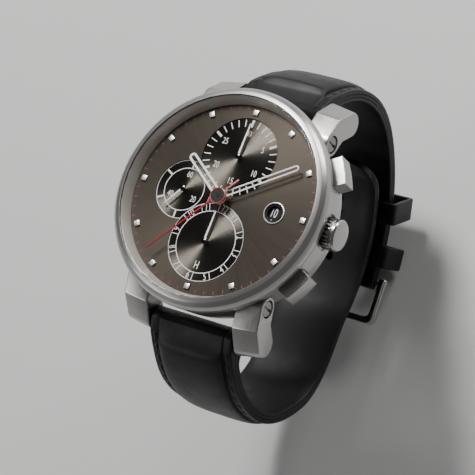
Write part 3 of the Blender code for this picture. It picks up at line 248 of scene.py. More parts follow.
def make_steels():
    metal("round_brushed", "steel_round_brushed", rough=0.33, grain="round", scale=(14.0, 5.0, 14.0),
          depth=0.004, spread=0.07, vary=0.05, anisotropy=0.35)
    metal("case_side", "steel_side_brushed", rough=0.34, grain="round", scale=(9.0, 4.0, 18.0), depth=0.005,
          spread=0.07, vary=0.05)
    metal("lug_brushed", "steel_lug_brushed", rough=0.33, grain="straight", scale=(9.0, 0.7, 0.7),
          depth=0.004, spread=0.08, vary=0.05)
    metal("pusher_brushed", "steel_pusher_brushed", rough=0.3, grain="straight", scale=(0.6, 0.6, 13.0),
          depth=0.004, spread=0.07, vary=0.05)
    metal("crown_brushed", "steel_crown_turned", rough=0.24, grain="round", scale=(12.0, 3.0, 12.0),
          centre=(0.0, 0.0, CROWN_Z), axis="X", depth=0.003, spread=0.06)
    metal("polished", "steel_polished", "bright_steel", BRIGHT, 0.1, scale=1.5, spread=0.03, vary=0.03)
    metal("screw", "steel_screw_head", "bright_steel", (0.27, 0.265, 0.26), 0.26, grain="straight", scale=6.0,
          spread=0.06, depth=0.002)


def make_movement_metals():
    metal("nickel_stripes", "nickel_graining", "plated_brass", (0.62, 0.6, 0.55), 0.3, grain="straight",
          scale=(0.35, 6.0, 6.0), depth=0.006, spread=0.08)
    metal("nickel_round", "nickel_circular_grain", "plated_brass", (0.6, 0.58, 0.54), 0.32, grain="round",
          scale=(8.0, 3.0, 8.0), depth=0.005, spread=0.08)
    metal("brass", "gilt_brass", "wheel_brass", (0.78, 0.56, 0.24), 0.26, scale=5.0, depth=0.003, spread=0.07)
    metal("blued", "blued_steel", "hairspring_blue", (0.03, 0.06, 0.25), 0.2, scale=3.0, vary=0.2)


def make_dial_finishes():
    metal("silver", "silver_sloping_ring", "rehaut_silver", (0.56, 0.53, 0.48), 0.36, metallic=0.5,
          grain="round", scale=(16.0, 5.0, 16.0), depth=0.003, spread=0.06)
    metal("trim", "silver_trim", "trim_silver", (0.86, 0.85, 0.82), 0.34, scale=3.0, spread=0.05)
    metal("dial", "taupe_sunray", "dial_taupe", (0.046, 0.037, 0.027), 0.4, metallic=0.7, grain="sunray",
          scale=(0.12, 42.0, 0.12), depth=0.0015, spread=0.04, vary=0.07, anisotropy=0.4)
    for name, (centre, _) in SUBDIALS.items():
        metal("subdial_" + name, "anthracite_snailed_" + name, "date_black", ANTHRACITE, 0.33, grain="round",
              scale=(17.0, 1.5, 1.0), centre=(*centre, 0.0), depth=0.004, spread=0.05, vary=0.2,
              anisotropy=0.95)
    paint("white", "hand_white_paint", "hand_white", (0.82, 0.81, 0.77), 0.38, 4.0, 0.06, 0.03, depth=0.002)
    paint("print", "pale_printing", "hand_white", (0.78, 0.77, 0.74), 0.5, 12.0, 0.08, 0.06)
    paint("red", "hand_red_paint", "hand_red", (0.36, 0.012, 0.01), 0.36, 4.0, 0.06, 0.08)
    paint("red_print", "red_printing", "hand_red", (0.2, 0.022, 0.018), 0.5, 9.0, 0.08, 0.1)
    paint("hub", "hub_grey", "date_black", (0.022, 0.025, 0.022), 0.55, 6.0, 0.06, 0.08,
          Specular_IOR_Level=0.12)
    metal("cap_black", "cap_black_steel", "date_black", (0.045, 0.045, 0.045), 0.16, scale=4.0, spread=0.04,
          vary=0.1)
    paint("black", "date_disc_black", "date_black", (0.008, 0.008, 0.009), 0.5, 5.0, 0.08, 0.2,
          Specular_IOR_Level=0.15)


def make_finishes():
    make_steels()
    make_movement_metals()
    make_dial_finishes()
    paint("rubber", "seal_rubber", "seal_rubber", (0.02, 0.02, 0.021), 0.62, 3.0, 0.08, 0.2, depth=0.01)
    FINISHES["leather"] = leather("strap_leather_outer", (0.0055, 0.0055, 0.006), 0.46)
    paint("thread", "strap_thread", "strap_leather", (0.014, 0.0135, 0.0135), 0.6, (2.0, 14.0, 14.0), 0.1,
          0.25, depth=0.04, Sheen_Weight=0.2)
    FINISHES["glass"] = crystal_glass()


def leather(name, colour, rough):
    """Smooth calf: fine pebbled grain over slow changes of sheen."""
    made = Finish(name, "strap_leather", colour, rough, 0.0, scale=0.35, spread=0.08, vary=0.25)
    cells = made.node("ShaderNodeTexVoronoi", Vector=made.point, Scale=3.4)
    cells.feature = 'DISTANCE_TO_EDGE'
    wrinkle = made.node("ShaderNodeTexNoise", Vector=made.point, Scale=1.1, Detail=6.0)
    edge = made.node("ShaderNodeMapRange", _0=cells.outputs["Distance"], _1=0.0, _2=0.12, _3=0.0, _4=1.0)
    height = made.maths('ADD', made.maths('MULTIPLY', edge.outputs[0], 0.45), wrinkle.outputs["Fac"])
    bump = made.node("ShaderNodeBump", Height=height, Strength=0.35, Distance=0.06 * MM)
    made.to_input("Normal", bump.outputs["Normal"])
    made.shader.inputs["Specular IOR Level"].default_value = 0.32
    return made


def crystal_glass():
    """Clear coated glass: almost invisible face on, a mirror at a glancing view."""
    made = Finish("sapphire_crystal", "crystal_glass", (0.9, 0.92, 0.95), 0.02, 1.0, scale=0.5,
                  spread=0.012, vary=0.02)
    facing = made.node("ShaderNodeLayerWeight").outputs["Facing"]
    share = made.maths('ADD', made.maths('MULTIPLY', made.maths('POWER', facing, 5.0), 0.6), 0.012)
    made.to_input("Alpha", share)
    return made


make_finishes()


# --- mesh helpers
def piece(name, mesh, finish, body, *stands_for, smooth=32.0, padded=None):
    """Scales a mesh from millimetres, makes it an object and hangs it on its body."""
    chosen = FINISHES[finish]
    mesh.name = name
    mesh.transform(Matrix.Scale(MM, 4))
    mesh.shade_smooth()
    mesh.set_sharp_from_angle(angle=math.radians(smooth))
    mesh.materials.clear()
    mesh.materials.append(chosen.material)
    item = bpy.data.objects.new(name, mesh)
    bpy.context.scene.collection.objects.link(item)
    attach(item, body)
    if stands_for:
        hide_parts(*stands_for)
    return item


def mesh_from(build):
    bm = bmesh.new()
    build(bm)
    mesh = bpy.data.meshes.new("shape")
    bm.to_mesh(mesh)
    bm.free()
    return mesh


def merged(meshes):
    def build(bm):
        for mesh in meshes:
            bm.from_mesh(mesh)
    return mesh_from(build)


def moved(mesh, place):
    mesh.transform(place)
    return mesh


def rounded(points, radius, closed=True, steps=4):
    """Rounds an outline's corners; a third number on a point is that corner's own radius."""
    out = []
    for i, point in enumerate(points):
        own = point[2] if len(point) > 2 else radius
        here = Vector(point[:2])
        end_point = not closed and i in (0, len(points) - 1)
        before = Vector(points[i - 1][:2]) - here
        after = Vector(points[(i + 1) % len(points)][:2]) - here
        half = before.angle(after, math.pi) / 2.0
        if own <= 0 or end_point or half > math.radians(89):
            out.append((here.x, here.y))
            continue
        reach = min(own / math.tan(half), before.length * 0.48, after.length * 0.48)
        start, end = here + before.normalized() * reach, here + after.normalized() * reach
        for k in range(steps + 1):
            t = k / steps
            spot = start * (1 - t) ** 2 + here * 2 * t * (1 - t) + end * t * t
            out.append((spot.x, spot.y))
    return out


def lathe(profile, sides=FINE, radius=0.0, closed=True, centre=(0.0, 0.0)):
    """A turned solid from (radius, height) points that run down its outer side."""
    outline = rounded(profile, radius, closed) if radius else [p[:2] for p in profile]

    def build(bm):
        rings = []
        for reach, height in outline:
            count = 1 if reach < 1e-6 else sides
            rings.append([bm.verts.new((centre[0] + reach * math.cos(TAU * i / count),
                                        centre[1] + reach * math.sin(TAU * i / count), height))
                          for i in range(count)])
        pairs = list(zip(rings, rings[1:])) + ([(rings[-1], rings[0])] if closed else [])
        for upper, lower in pairs:
            for i in range(sides):
                j = (i + 1) % sides
                corners = [upper[i % len(upper)], lower[i % len(lower)]]
                corners += [lower[j % len(lower)], upper[j % len(upper)]]
                face = list(dict.fromkeys(corners))
                if len(face) > 2:
                    bm.faces.new(face)
    return mesh_from(build)


# SIDE_ON takes an outline (y, z) and draws it out along X; ON_CROWN takes a vertical axis to the crown's.
SIDE_ON = Matrix(((0, 0, 1, 0), (1, 0, 0, 0), (0, 1, 0, 0), (0, 0, 0, 1)))
ON_CROWN = Matrix.Translation((0, 0, CROWN_Z)) @ Matrix.Rotation(math.radians(90), 4, 'Y')


def slab(outlines, low, high, edge=0.04, place=Matrix(), steps=2):
    """An extruded flat outline with holes and rounded edges, in millimetres."""
    curve = bpy.data.curves.new("outline", 'CURVE')
    curve.dimensions = '2D'
    curve.fill_mode = 'BOTH'
    curve.extrude = (high - low) / 2.0 - edge
    if edge:
        curve.bevel_depth = edge
        curve.bevel_resolution = steps - 1
        curve.offset = -edge
    for points in outlines:
        spline = curve.splines.new('POLY')
        spline.points.add(len(points) - 1)
        for point, (x, y) in zip(spline.points, points):
            point.co = (x, y, 0.0, 1.0)
        spline.use_cyclic_u = True
    mesh = applied(curve)

    def build(bm):
        bm.from_mesh(mesh)
        bmesh.ops.remove_doubles(bm, verts=bm.verts, dist=0.0005)
        bmesh.ops.transform(bm, matrix=place @ Matrix.Translation((0, 0, (low + high) / 2.0)), verts=bm.verts)
        bmesh.ops.recalc_face_normals(bm, faces=bm.faces)
    return mesh_from(build)


def applied(data, *modifiers):
    """The mesh that a datablock gives once its modifiers, (kind, settings) each, are applied."""
    holder = bpy.data.objects.new("work", data)
    bpy.context.scene.collection.objects.link(holder)
    helpers = []
    for kind, settings in modifiers:
        modifier = holder.modifiers.new(kind.lower(), kind)
        for key, value in settings.items():
            if isinstance(value, bpy.types.Mesh):
                value = bpy.data.objects.new("tool", value)
                bpy.context.scene.collection.objects.link(value)
                helpers.append(value)
            setattr(modifier, key, value)
    bpy.context.view_layer.update()
    mesh = bpy.data.meshes.new_from_object(holder.evaluated_get(bpy.context.evaluated_depsgraph_get()))
    for item in [holder, *helpers]:
        bpy.data.objects.remove(item, do_unlink=True)
    return mesh


def carved(mesh, *tools, operation='DIFFERENCE'):
    return applied(mesh, *[('BOOLEAN', {"operation": operation, "object": tool}) for tool in tools])


def bevelled(mesh, width, segments=3, angle=30.0):
    """Rounds the sharp edges, after flat faces that a cut left in pieces are joined."""
    def tidy(bm):
        bm.from_mesh(mesh)
        bmesh.ops.remove_doubles(bm, verts=bm.verts, dist=0.001)
        bmesh.ops.dissolve_limit(bm, angle_limit=math.radians(0.3), verts=bm.verts, edges=bm.edges)
    settings = {"width": width, "segments": segments, "limit_method": 'ANGLE',
                "angle_limit": math.radians(angle), "use_clamp_overlap": True, "miter_outer": 'MITER_ARC'}
    return applied(mesh_from(tidy), ('BEVEL', settings))


def rod(radius, start, end, sides=32, edge=0.0):
    """A cylinder between two points, with chamfered ends if edge is given."""
    start, end = Vector(start), Vector(end)
    length = (end - start).length
    rim = [(radius, length / 2.0 - edge), (radius, edge - length / 2.0)]
    if edge:
        rim = [(radius - edge, length / 2.0)] + rim + [(radius - edge, -length / 2.0)]
    profile = [(0.0, length / 2.0)] + rim + [(0.0, -length / 2.0)]
    turn = (end - start).to_track_quat('Z', 'Y').to_matrix().to_4x4()
    return moved(lathe(profile, sides, closed=False), Matrix.Translation((start + end) / 2.0) @ turn)


def block(low, high, spin=0.0):
    size = [b - a for a, b in zip(low, high)]
    middle = [(a + b) / 2.0 for a, b in zip(low, high)]
    place = Matrix.Translation(middle) @ Matrix.Diagonal((*size, 1.0))
    place = Matrix.Rotation(math.radians(spin), 4, 'Z') @ place
    return mesh_from(lambda bm: bmesh.ops.create_cube(bm, size=1.0, matrix=place))


def circle(radius, centre=(0.0, 0.0), sides=MEDIUM):
    turns = [TAU * i / sides for i in range(sides)]
    return [(centre[0] + radius * math.cos(turn), centre[1] + radius * math.sin(turn)) for turn in turns]


def arc_points(radius, start, sweep, steps):
    turns = [start + sweep * i / steps for i in range(steps + 1)]
    return [(radius * math.cos(turn), radius * math.sin(turn)) for turn in turns]


def both_ways(side, ends):
    """The two ends of a span on one side of the middle, lowest first."""
    return sorted((side * ends[0], side * ends[1]))


def ease(value):
    value = max(0.0, min(1.0, value))
    return value * value * (3.0 - 2.0 * value)


def polar(radius, degrees):
    turn = math.radians(degrees)
    return radius * math.sin(turn), radius * math.cos(turn)


def clock_turn(degrees):
    return Matrix.Rotation(-math.radians(degrees), 4, 'Z')


def lettering(text, size, place, squeeze):
    """Printed figures, upright about their own middle, condensed by squeeze."""
    curve = bpy.data.curves.new("figures", 'FONT')
    curve.body = text
    curve.size = size * 1.42
    curve.align_x, curve.align_y = 'CENTER', 'CENTER'
    curve.extrude = PRINT_THICK
    curve.resolution_u = 4
    return moved(applied(curve), place @ Matrix.Diagonal((squeeze, 1.0, 1.0, 1.0)))


def tick(centre, angle, inner, outer, width, level, thick=0.02):
    """A printed bar along a radius."""
    place = Matrix.Translation((*centre, level + thick / 2.0)) @ clock_turn(angle)
    place = place @ Matrix.Translation((0, (inner + outer) / 2.0, 0))
    size = Matrix.Diagonal((width, outer - inner, thick, 1.0))
    return mesh_from(lambda bm: bmesh.ops.create_cube(bm, size=1.0, matrix=place @ size))


def upright(radius, low=0, high=12):
    """A wide cylinder on the dial's axis."""
    return rod(radius, (0, 0, low), (0, 0, high), FINE)


def axle(radius, side, ends, at, *more):
    """A rod along X through at = (y, z), on one side of the watch."""
    return rod(radius, (side * ends[0], *at), (side * ends[1], *at), *more)


# --- case
def make_case():
    outside = [(21.5, CASE_TOP, 0.12), (21.25, 5.0, 3.0), (20.8, 2.3, 0.5), (20.4, 1.9, 0.15)]
    groove = [(18.9, 1.9, 0.0), (18.9, 2.5, 0.0), (18.3, 2.5, 0.0), (18.3, 1.9, 0.0)]
    inside = [(18.05, 1.9, 0.0), (18.05, 3.0, 0.0), (19.4, 3.0, 0.0), (19.4, CASE_TOP, 0.0)]
    case = lathe(outside + groove + inside, radius=0.1)
    notches, ears, ear_holes = [], [], []
    for side_x in (1, -1):
        for side_y in (1, -1):
            across, along = both_ways(side_x, NOTCH_X), both_ways(side_y, NOTCH_Y)
            notches.append(block((across[0], along[0], NOTCH_Z[0]), (across[1], along[1], NOTCH_Z[1])))
            pivot = (side_y * PIVOT_Y, PIVOT_Z)
            ears.append(axle(EAR_RADIUS, side_x, EAR_X, pivot))
            ear_holes.append(axle(SCREW_SHANK + 0.06, side_x, (EAR_X[0] - 0.15, EAR_X[1] + 1.0), pivot))
    case = carved(case, carved(merged(notches), upright(NOTCH_CORE)))
    case = carved(case, carved(merged(ears), upright(EAR_CORE)), operation='UNION')
    floor, edge, mouth = ((radius, distance) for distance, radius in CROWN_SEAT)
    seat = lathe([(0.0, mouth[1]), mouth, edge, floor, (0.0, floor[1])], 80, closed=False)
    tools = [merged(ear_holes), moved(seat, ON_CROWN), rod(1.3, (18, 0, CROWN_Z), (21, 0, CROWN_Z))]
    half = PUSHER_HALF + PUSHER_GAP
    for angle in PUSHERS.values():
        tools.append(block((-half, PUSHER_POCKET, PUSHER_Z[0] - PUSHER_GAP),
                           (half, FAR_OUT, PUSHER_Z[1] + PUSHER_GAP), spin=-angle))
        tools.append(rod(1.12, (*polar(18.5, angle), PUSHER_MIDDLE), (*polar(20.5, angle), PUSHER_MIDDLE)))
    case = carved(case, *tools)
    piece("case_band", bevelled(case, 0.07, 2, 40.0), "case_side", "case", "case_middle")


def make_bezel_and_crystal():
    outside = [(20.05, 12.64, 0.1), (20.9, 12.33, 0.5), (21.6, 11.65, 0.9), (BEZEL_RADIUS, 10.75, 0.9),
               (21.97, 9.75, 0.5), (21.75, 9.0, 0.12)]
    inside = [(20.35, 9.0, 0.0), (20.35, 12.53, 0.0), (20.05, 12.53, 0.0)]
    piece("bezel_ring", lathe(outside + inside, 320, 0.1), "round_brushed", "case", "bezel")
    glass = [(0.0, CRYSTAL_HIGH), (CRYSTAL_RADIUS - 0.3, CRYSTAL_HIGH, 0.08),
             (CRYSTAL_RADIUS, CRYSTAL_HIGH - 0.25, 0.08), (CRYSTAL_RADIUS, CRYSTAL_LOW, 0.05),
             (0.0, CRYSTAL_LOW)]
    piece("crystal_pane", lathe(glass, FINE, 0.05, closed=False), "glass", "case", "crystal")
    foot = DIAL_Z + 0.03
    slope = [(19.85, 12.25, 0.05), (20.3, 12.25), (20.3, foot), (18.9, foot, 0.05)]
    piece("sloping_ring", lathe(slope, 320, 0.02), "silver", "case", "rehaut")


def make_back():
    hollow = [(0.0, 1.2), (16.8, 1.2), (16.8, 2.85), (18.0, 2.85), (18.0, 1.85)]
    outside = [(18.9, 1.85, 0.05), (18.9, 0.7, 0.15), (17.6, 0.0, 0.1), (16.2, 0.0, 0.0), (16.05, 0.07, 0.05),
               (15.9, 0.0, 0.0), (0.0, 0.0)]
    back = lathe(hollow + outside, FINE, 0.02, closed=False)
    notches = []
    for i in range(6):
        x, y = polar(17.6, 60.0 * i + 30.0)
        notches.append(rod(0.9, (x, y, -0.5), (x, y, 0.6)))
    back = bevelled(carved(back, merged(notches)), 0.05, 2, 40.0)
    piece("case_back", back, "round_brushed", "case", "caseback")


# --- lugs
def beside(start, end, offset):
    """A line drawn parallel to start-end, offset to its left."""
    run, rise = end[0] - start[0], end[1] - start[1]
    length = math.hypot(run, rise)
    shift = (-rise / length * offset, run / length * offset)
    return [(start[0] + shift[0], start[1] + shift[1]), (end[0] + shift[0], end[1] + shift[1])]


def meeting(first, second):
    """Where the lines through two pairs of points cross."""
    (ax, ay), (bx, by) = first
    (cx, cy), (dx, dy) = second
    ux, uy, vx, vy = bx - ax, by - ay, dx - cx, dy - cy
    t = ((cx - ax) * vy - (cy - ay) * vx) / (ux * vy - uy * vx)
    return ax + t * ux, ay + t * uy


def half_turn(centre, start):
    """A half circle about centre, clockwise, without its two ends."""
    turn = math.atan2(start[1] - centre[1], start[0] - centre[0])
    arc = arc_points(math.dist(centre, start), turn, -math.pi, 24)
    return [(centre[0] + x, centre[1] + y, 0.0) for x, y in arc[1:-1]]


def lug_side_view(side):
    """Two straight arms that meet in a crease, with round ends, as (y, z) points."""
    pivot, bar = (PIVOT_Y, PIVOT_Z), (BAR_Y, BAR_Z)
    upper_in, upper_out = beside(pivot, LUG_KNEE, LUG_HALF), beside(LUG_KNEE, bar, LUG_HALF)
    lower_in, lower_out = beside(pivot, LUG_KNEE, -LUG_HALF), beside(LUG_KNEE, bar, -LUG_HALF)
    crease, hollow = meeting(upper_in, upper_out), meeting(lower_in, lower_out)
    outline = [(*upper_in[0], 0.0), (*crease, CREASE_ROUND), (*upper_out[1], 0.0)]
    outline += half_turn(bar, upper_out[1])
    outline += [(*lower_out[1], 0.0), (*hollow, HOLLOW_ROUND), (*lower_in[0], 0.0)]
    outline += half_turn(pivot, lower_in[0])
    return [(side * y, z) for y, z in rounded(outline, 0.0, steps=5)]


def flared(mesh):
    """The lug's end reaches further towards its inner cheek, as if cut round the case."""
    start, end = LUG_FLARE_Y
    for vertex in mesh.vertices:
        inward = (LUG_OUTER - abs(vertex.co.x)) / (LUG_OUTER - LUG_INNER)
        reach = max(0.0, min(1.0, (abs(vertex.co.y) - start) / (end - start)))
        vertex.co.y += math.copysign(inward * reach * LUG_FLARE, vertex.co.y)
    return mesh


def make_lugs():
    for end, side_y in (("12", 1), ("6", -1)):
        body = "lugs_" + end
        pivot, bar = (side_y * PIVOT_Y, PIVOT_Z), (side_y * BAR_Y, BAR_Z)
        along = both_ways(side_y, (NOTCH_Y[0], LUG_SLOT_END))
        for hand, side_x in (("right", 1), ("left", -1)):
            across, slot = both_ways(side_x, (LUG_INNER, LUG_OUTER)), both_ways(side_x, LUG_SLOT_X)
            lug = flared(slab([lug_side_view(side_y)], across[0], across[1], 0.3, SIDE_ON, 4))
            tools = [block((slot[0], along[0], LUG_SLOT_Z[0]), (slot[1], along[1], LUG_SLOT_Z[1])),
                     upright(LUG_CLIP, -6, 13),
                     axle(SCREW_HEAD + 0.21, side_x, (SCREW_X[1] - 0.07, 16.0), pivot, 64),
                     axle(SCREW_SHANK + 0.08, side_x, (13.0, 15.0), pivot),
                     axle(BAR_HOLE, side_x, (9.0, 13.6), bar, 40)]
            name = f"lug_{end}_{hand}"
            piece(name + "_bar", bevelled(carved(lug, *tools), 0.06, 2, 50.0), "lug_brushed", body, name)
            make_screw(f"lug_screw_{end}_{hand}", side_x, pivot)
        spring_bar = merged([axle(BAR_HOLE - 0.1, 1, (-13.5, 13.5), bar, 40, 0.12)])
        piece("spring_bar_" + end, spring_bar, "polished", body, "strap_bar_" + end)


def make_screw(node, side, pivot):
    inner, shoulder, outer = SCREW_X
    head = axle(SCREW_HEAD, side, (shoulder, outer), pivot, 64, 0.12)
    shank = axle(SCREW_SHANK, side, (inner, shoulder + 0.23), pivot, 32)
    low, high = both_ways(side, (outer - 0.37, outer + 0.28))
    slot = block((low, pivot[0] - 0.25, pivot[1] - 2.0), (high, pivot[0] + 0.25, pivot[1] + 2.0))
    piece(node + "_slotted", carved(carved(head, shank, operation='UNION'), slot), "screw", "case", node)


# --- crown and pushers
def make_crown():
    inner, flutes_end, rim, top = CROWN_X
    steps = CROWN_FLUTES * FLUTE_STEPS
    fluted = []
    for i in range(steps):
        share = (i % FLUTE_STEPS) / FLUTE_STEPS
        reach = CROWN_RADIUS - FLUTE_DEPTH * ease((math.sin(TAU * share) + 0.3) / 0.6)
        turn = TAU * i / steps
        fluted.append((reach * math.cos(turn), reach * math.sin(turn)))
    teeth = slab([fluted, circle(1.35, sides=48)], inner, flutes_end, 0.08, ON_CROWN, 2)
    neck = flutes_end - 0.15
    head = lathe([(0.0, top), (1.5, top - 0.06, 0.6), (2.75, rim, 0.3), (CROWN_RADIUS, rim - 0.35, 0.15),
                  (CROWN_RADIUS, flutes_end + 0.12, 0.05), (CROWN_RADIUS - 0.2, flutes_end, 0.03),
                  (CROWN_RADIUS - 0.4, neck, 0.0), (0.0, neck)], 128, 0.02, closed=False)
    turned = ("crown_brushed", "crown_and_stem", "crown")
    piece("crown_flutes", teeth, *turned)
    piece("crown_head", moved(head, ON_CROWN), *turned)


def make_pushers():
    inner, outer = PUSHER_REACH
    spread = math.asin(PUSHER_HALF / outer)
    turns = [spread * (i / 12.0 - 1.0) for i in range(25)]
    arc = [(outer * math.sin(turn), outer * math.cos(turn)) for turn in turns]
    outline = [(*arc[0], 0.35)] + [(x, y, 0.0) for x, y in arc[1:-1]] + [(*arc[-1], 0.35)]
    outline += [(PUSHER_HALF, inner, 0.1), (-PUSHER_HALF, inner, 0.1)]
    for name, angle in PUSHERS.items():
        button = slab([rounded(outline, 0.1)], PUSHER_Z[0], PUSHER_Z[1], 0.2, clock_turn(angle), 4)
        stem = rod(0.45, (*polar(18.0, angle), PUSHER_MIDDLE), (*polar(21.2, angle), PUSHER_MIDDLE), 32, 0.05)
        body = name + "_pusher"
        piece("pusher_button_" + name, button, "pusher_brushed", body, "pusher_" + name)
        piece("pusher_shaft_" + name, stem, "polished", body)


# --- dial
def outside_of(points, other):
    """Pushes an outline's points that lie in another subdial out to its edge."""
    centre, radius = SUBDIALS[other]
    out = []
    for x, y in points:
        away = Vector((x - centre[0], y - centre[1]))
        if away.length < radius:
            away = away.normalized() * radius
        out.append((centre[0] + away.x, centre[1] + away.y))
    return out


def make_dial():
    under = DIAL_Z - DIAL_THICK
    profile = [(0.0, DIAL_Z), (DIAL_RADIUS, DIAL_Z), (DIAL_RADIUS, under), (0.0, under)]
    plate = lathe(profile, FINE, closed=False)
    low, high = DIAL_Z - 1.0, DIAL_Z + 1.0
    tools = [rod(radius, (*centre, low), (*centre, high), 160) for centre, radius in SUBDIALS.values()]
    tools += [rod(DATE_HOLE, (DATE_X, 0, low), (DATE_X, 0, high), 64),
              rod(1.25, (0, 0, low), (0, 0, high), 48)]
    piece("dial_plate", carved(plate, *tools), "dial", "case", "dial")
    for name, (centre, radius) in SUBDIALS.items():
        edge = circle(radius, centre, 200)
        if name == "9":
            edge = outside_of(outside_of(edge, "6"), "12")
        floor = slab([edge, circle(ARBOR_HOLE, centre, 24)], under, SUBDIAL_Z, 0.0)
        piece("subdial_" + name, floor, "subdial_" + name, "case", "dial")
    half = MARKER_HALF
    square = [(half, half), (-half, half), (-half, -half), (half, -half)]
    markers = []
    for hour in range(12):
        marker = slab([square], DIAL_Z - 0.02, DIAL_Z + MARKER_HEIGHT, 0.015)
        markers.append(moved(marker, clock_turn(30.0 * hour) @ Matrix.Translation((0, MARKER_CIRCLE, 0))))
    piece("hour_markers", merged(markers), "trim", "case")
    track = [tick((0.0, 0.0), 6.0 * i, *RED_TRACK, 0.17, DIAL_Z, PRINT_THICK) for i in range(60) if i % 5]
    piece("red_track", merged(track), "red_print", "case")


def printed_ring(centre, radius, width, skip=()):
    """A thin printed circle on a subdial, left out where it would cross another subdial."""
    low, high, inner, outer = SUBDIAL_Z, SUBDIAL_Z + 0.02, radius - width / 2, radius + width / 2
    band = lathe([(outer, high), (outer, low), (inner, low), (inner, high)], 200, centre=centre)
    tools = []
    for other in skip:
        away, reach = SUBDIALS[other]
        tools.append(rod(reach, (*away, SUBDIAL_Z - 1.0), (*away, SUBDIAL_Z + 1.0), 160))
    return carved(band, *tools) if tools else band


def figure(text, size, centre, radius, angle, spin=0.0, squeeze=0.72):
    """Lettering on a subdial, at a clock angle and distance from its centre."""
    x, y = polar(radius, angle)
    place = Matrix.Translation((centre[0] + x, centre[1] + y, SUBDIAL_Z + PRINT_LIFT)) @ clock_turn(spin)
    return lettering(text, size, place, squeeze)


def make_printing():
    centre = SUBDIALS["12"][0]
    marks = []
    for minute in range(30):
        thick = minute % 5 == 0
        marks.append(tick(centre, 12.0 * minute, 6.15, 7.6, 0.46 if thick else 0.2, SUBDIAL_Z))
    for minute in range(5, 31, 5):
        marks.append(figure(str(minute), 1.25, centre, 4.8, 12.0 * minute))
    piece("minute_counter_print", merged(marks), "print", "case")

    centre = SUBDIALS["6"][0]
    marks = [printed_ring(centre, 7.66, 0.14), printed_ring(centre, 6.08, 0.16)]
    for hour in range(1, 13):
        angle = 30.0 * hour
        marks.append(tick(centre, angle, 6.1, 7.62, 0.14, SUBDIAL_Z))
        at = angle + (8.0 if hour < 10 else 10.5)
        upside_down = 180.0 if 4 <= hour <= 8 else 0.0
        marks.append(figure(str(hour), 1.45, centre, 6.87, at, at + upside_down, 0.66))
    marks.append(figure("H", 1.6, centre, 4.7, 180.0, 0.0, 0.62))
    piece("hour_counter_print", merged(marks), "print", "case")

    centre = SUBDIALS["9"][0]
    marks = [printed_ring(centre, 5.78, 0.14, skip=("6", "12")), printed_ring(centre, 4.2, 0.16)]
    for step in range(6):
        angle = 60.0 * step
        x, y = polar(5.0, angle)
        end = (centre[0] + x, centre[1] + y)
        if min(math.dist(end, SUBDIALS[other][0]) - SUBDIALS[other][1] for other in ("6", "12")) > 0.8:
            marks.append(tick(centre, angle, 4.2, 5.75, 0.34, SUBDIAL_Z))
    for second in (20, 40, 60):
        marks.append(figure(str(second), 1.2, centre, 2.95, 6.0 * second))
    piece("small_seconds_print", merged(marks), "print", "case")


def make_date():
    centre = (DATE_X, 0.0)
    inner, seat, outer = DATE_RING
    foot = DIAL_Z + 0.03
    rim = [(outer, DIAL_Z + 0.2, 0.04), (outer, foot, 0.0), (seat, foot, 0.0), (seat, DIAL_Z + 0.24, 0.03)]
    piece("date_frame", lathe(rim, 96, 0.02, centre=centre), "silver", "case", "date_window_ring")
    slope = [(seat, DIAL_Z + 0.21, 0.0), (seat, foot, 0.0), (inner, DIAL_Z - 0.02, 0.0),
             (inner, DIAL_Z + 0.02, 0.02)]
    piece("date_frame_slope", lathe(slope, 96, 0.01, centre=centre), "black", "case")
    (near, far), (low, high) = DATE_DISC, DATE_DISC_Z
    disc = lathe([(far, high), (far, low), (near, low), (near, high)], 160)
    piece("date_disc_plate", disc, "black", "date_ring", "date_disc")
    figures = []
    for day in range(1, DAYS + 1):
        turn = Matrix.Rotation(TAU * (day - SHOWN_DAY) / DAYS, 4, 'Z')
        place = turn @ Matrix.Translation((DATE_X - 0.35, 0.1, high + PRINT_LIFT))
        figures.append(lettering(str(day), 1.75, place, 0.6))
    piece("date_figures", merged(figures), "print", "date_ring")


# --- hands
def skeleton(disc, width, length):
    """A broad hand with a round tip, on a round boss."""
    half = width / 2.0
    lift = math.asin(half / disc)
    tip = [(x, length - half + y) for x, y in arc_points(half, 0.0, math.pi, 24)]
    return tip + arc_points(disc, math.pi / 2 + lift, TAU - 2 * lift, 72)


def stadium(half, start, end):
    """The open window along a hand."""
    arc = arc_points(half, 0.0, math.pi, 16)
    return [(x, end - half + y) for x, y in arc] + [(-x, start + half - y) for x, y in arc]


def needle(disc, half, tip, half_tip, tail, half_tail):
    """A boss with a tapering pointer and a straight tail."""
    lift, drop = math.asin(half / disc), math.asin(half_tail / disc)
    sweep = math.pi - lift - drop
    left = arc_points(disc, math.pi / 2 + lift, sweep, 36)
    right = arc_points(disc, 3 * math.pi / 2 + drop, sweep, 36)
    return [(half_tip, tip), (-half_tip, tip)] + left + [(-half_tail, -tail), (half_tail, -tail)] + right


def pointed(disc, half, tip, half_tip):
    """A boss with a tapering pointer and no tail."""
    lift = math.asin(half / disc)
    return [(half_tip, tip), (-half_tip, tip)] + arc_points(disc, math.pi / 2 + lift, TAU - 2 * lift, 72)


def flat_hand(name, outlines, level, angle, edge, finish, body, node, centre=(0.0, 0.0)):
    low, high = HANDS_Z[level]
    place = Matrix.Translation((*centre, 0.0)) @ clock_turn(angle)
    piece(name, slab(outlines, low, high, edge, place), finish, body, node)


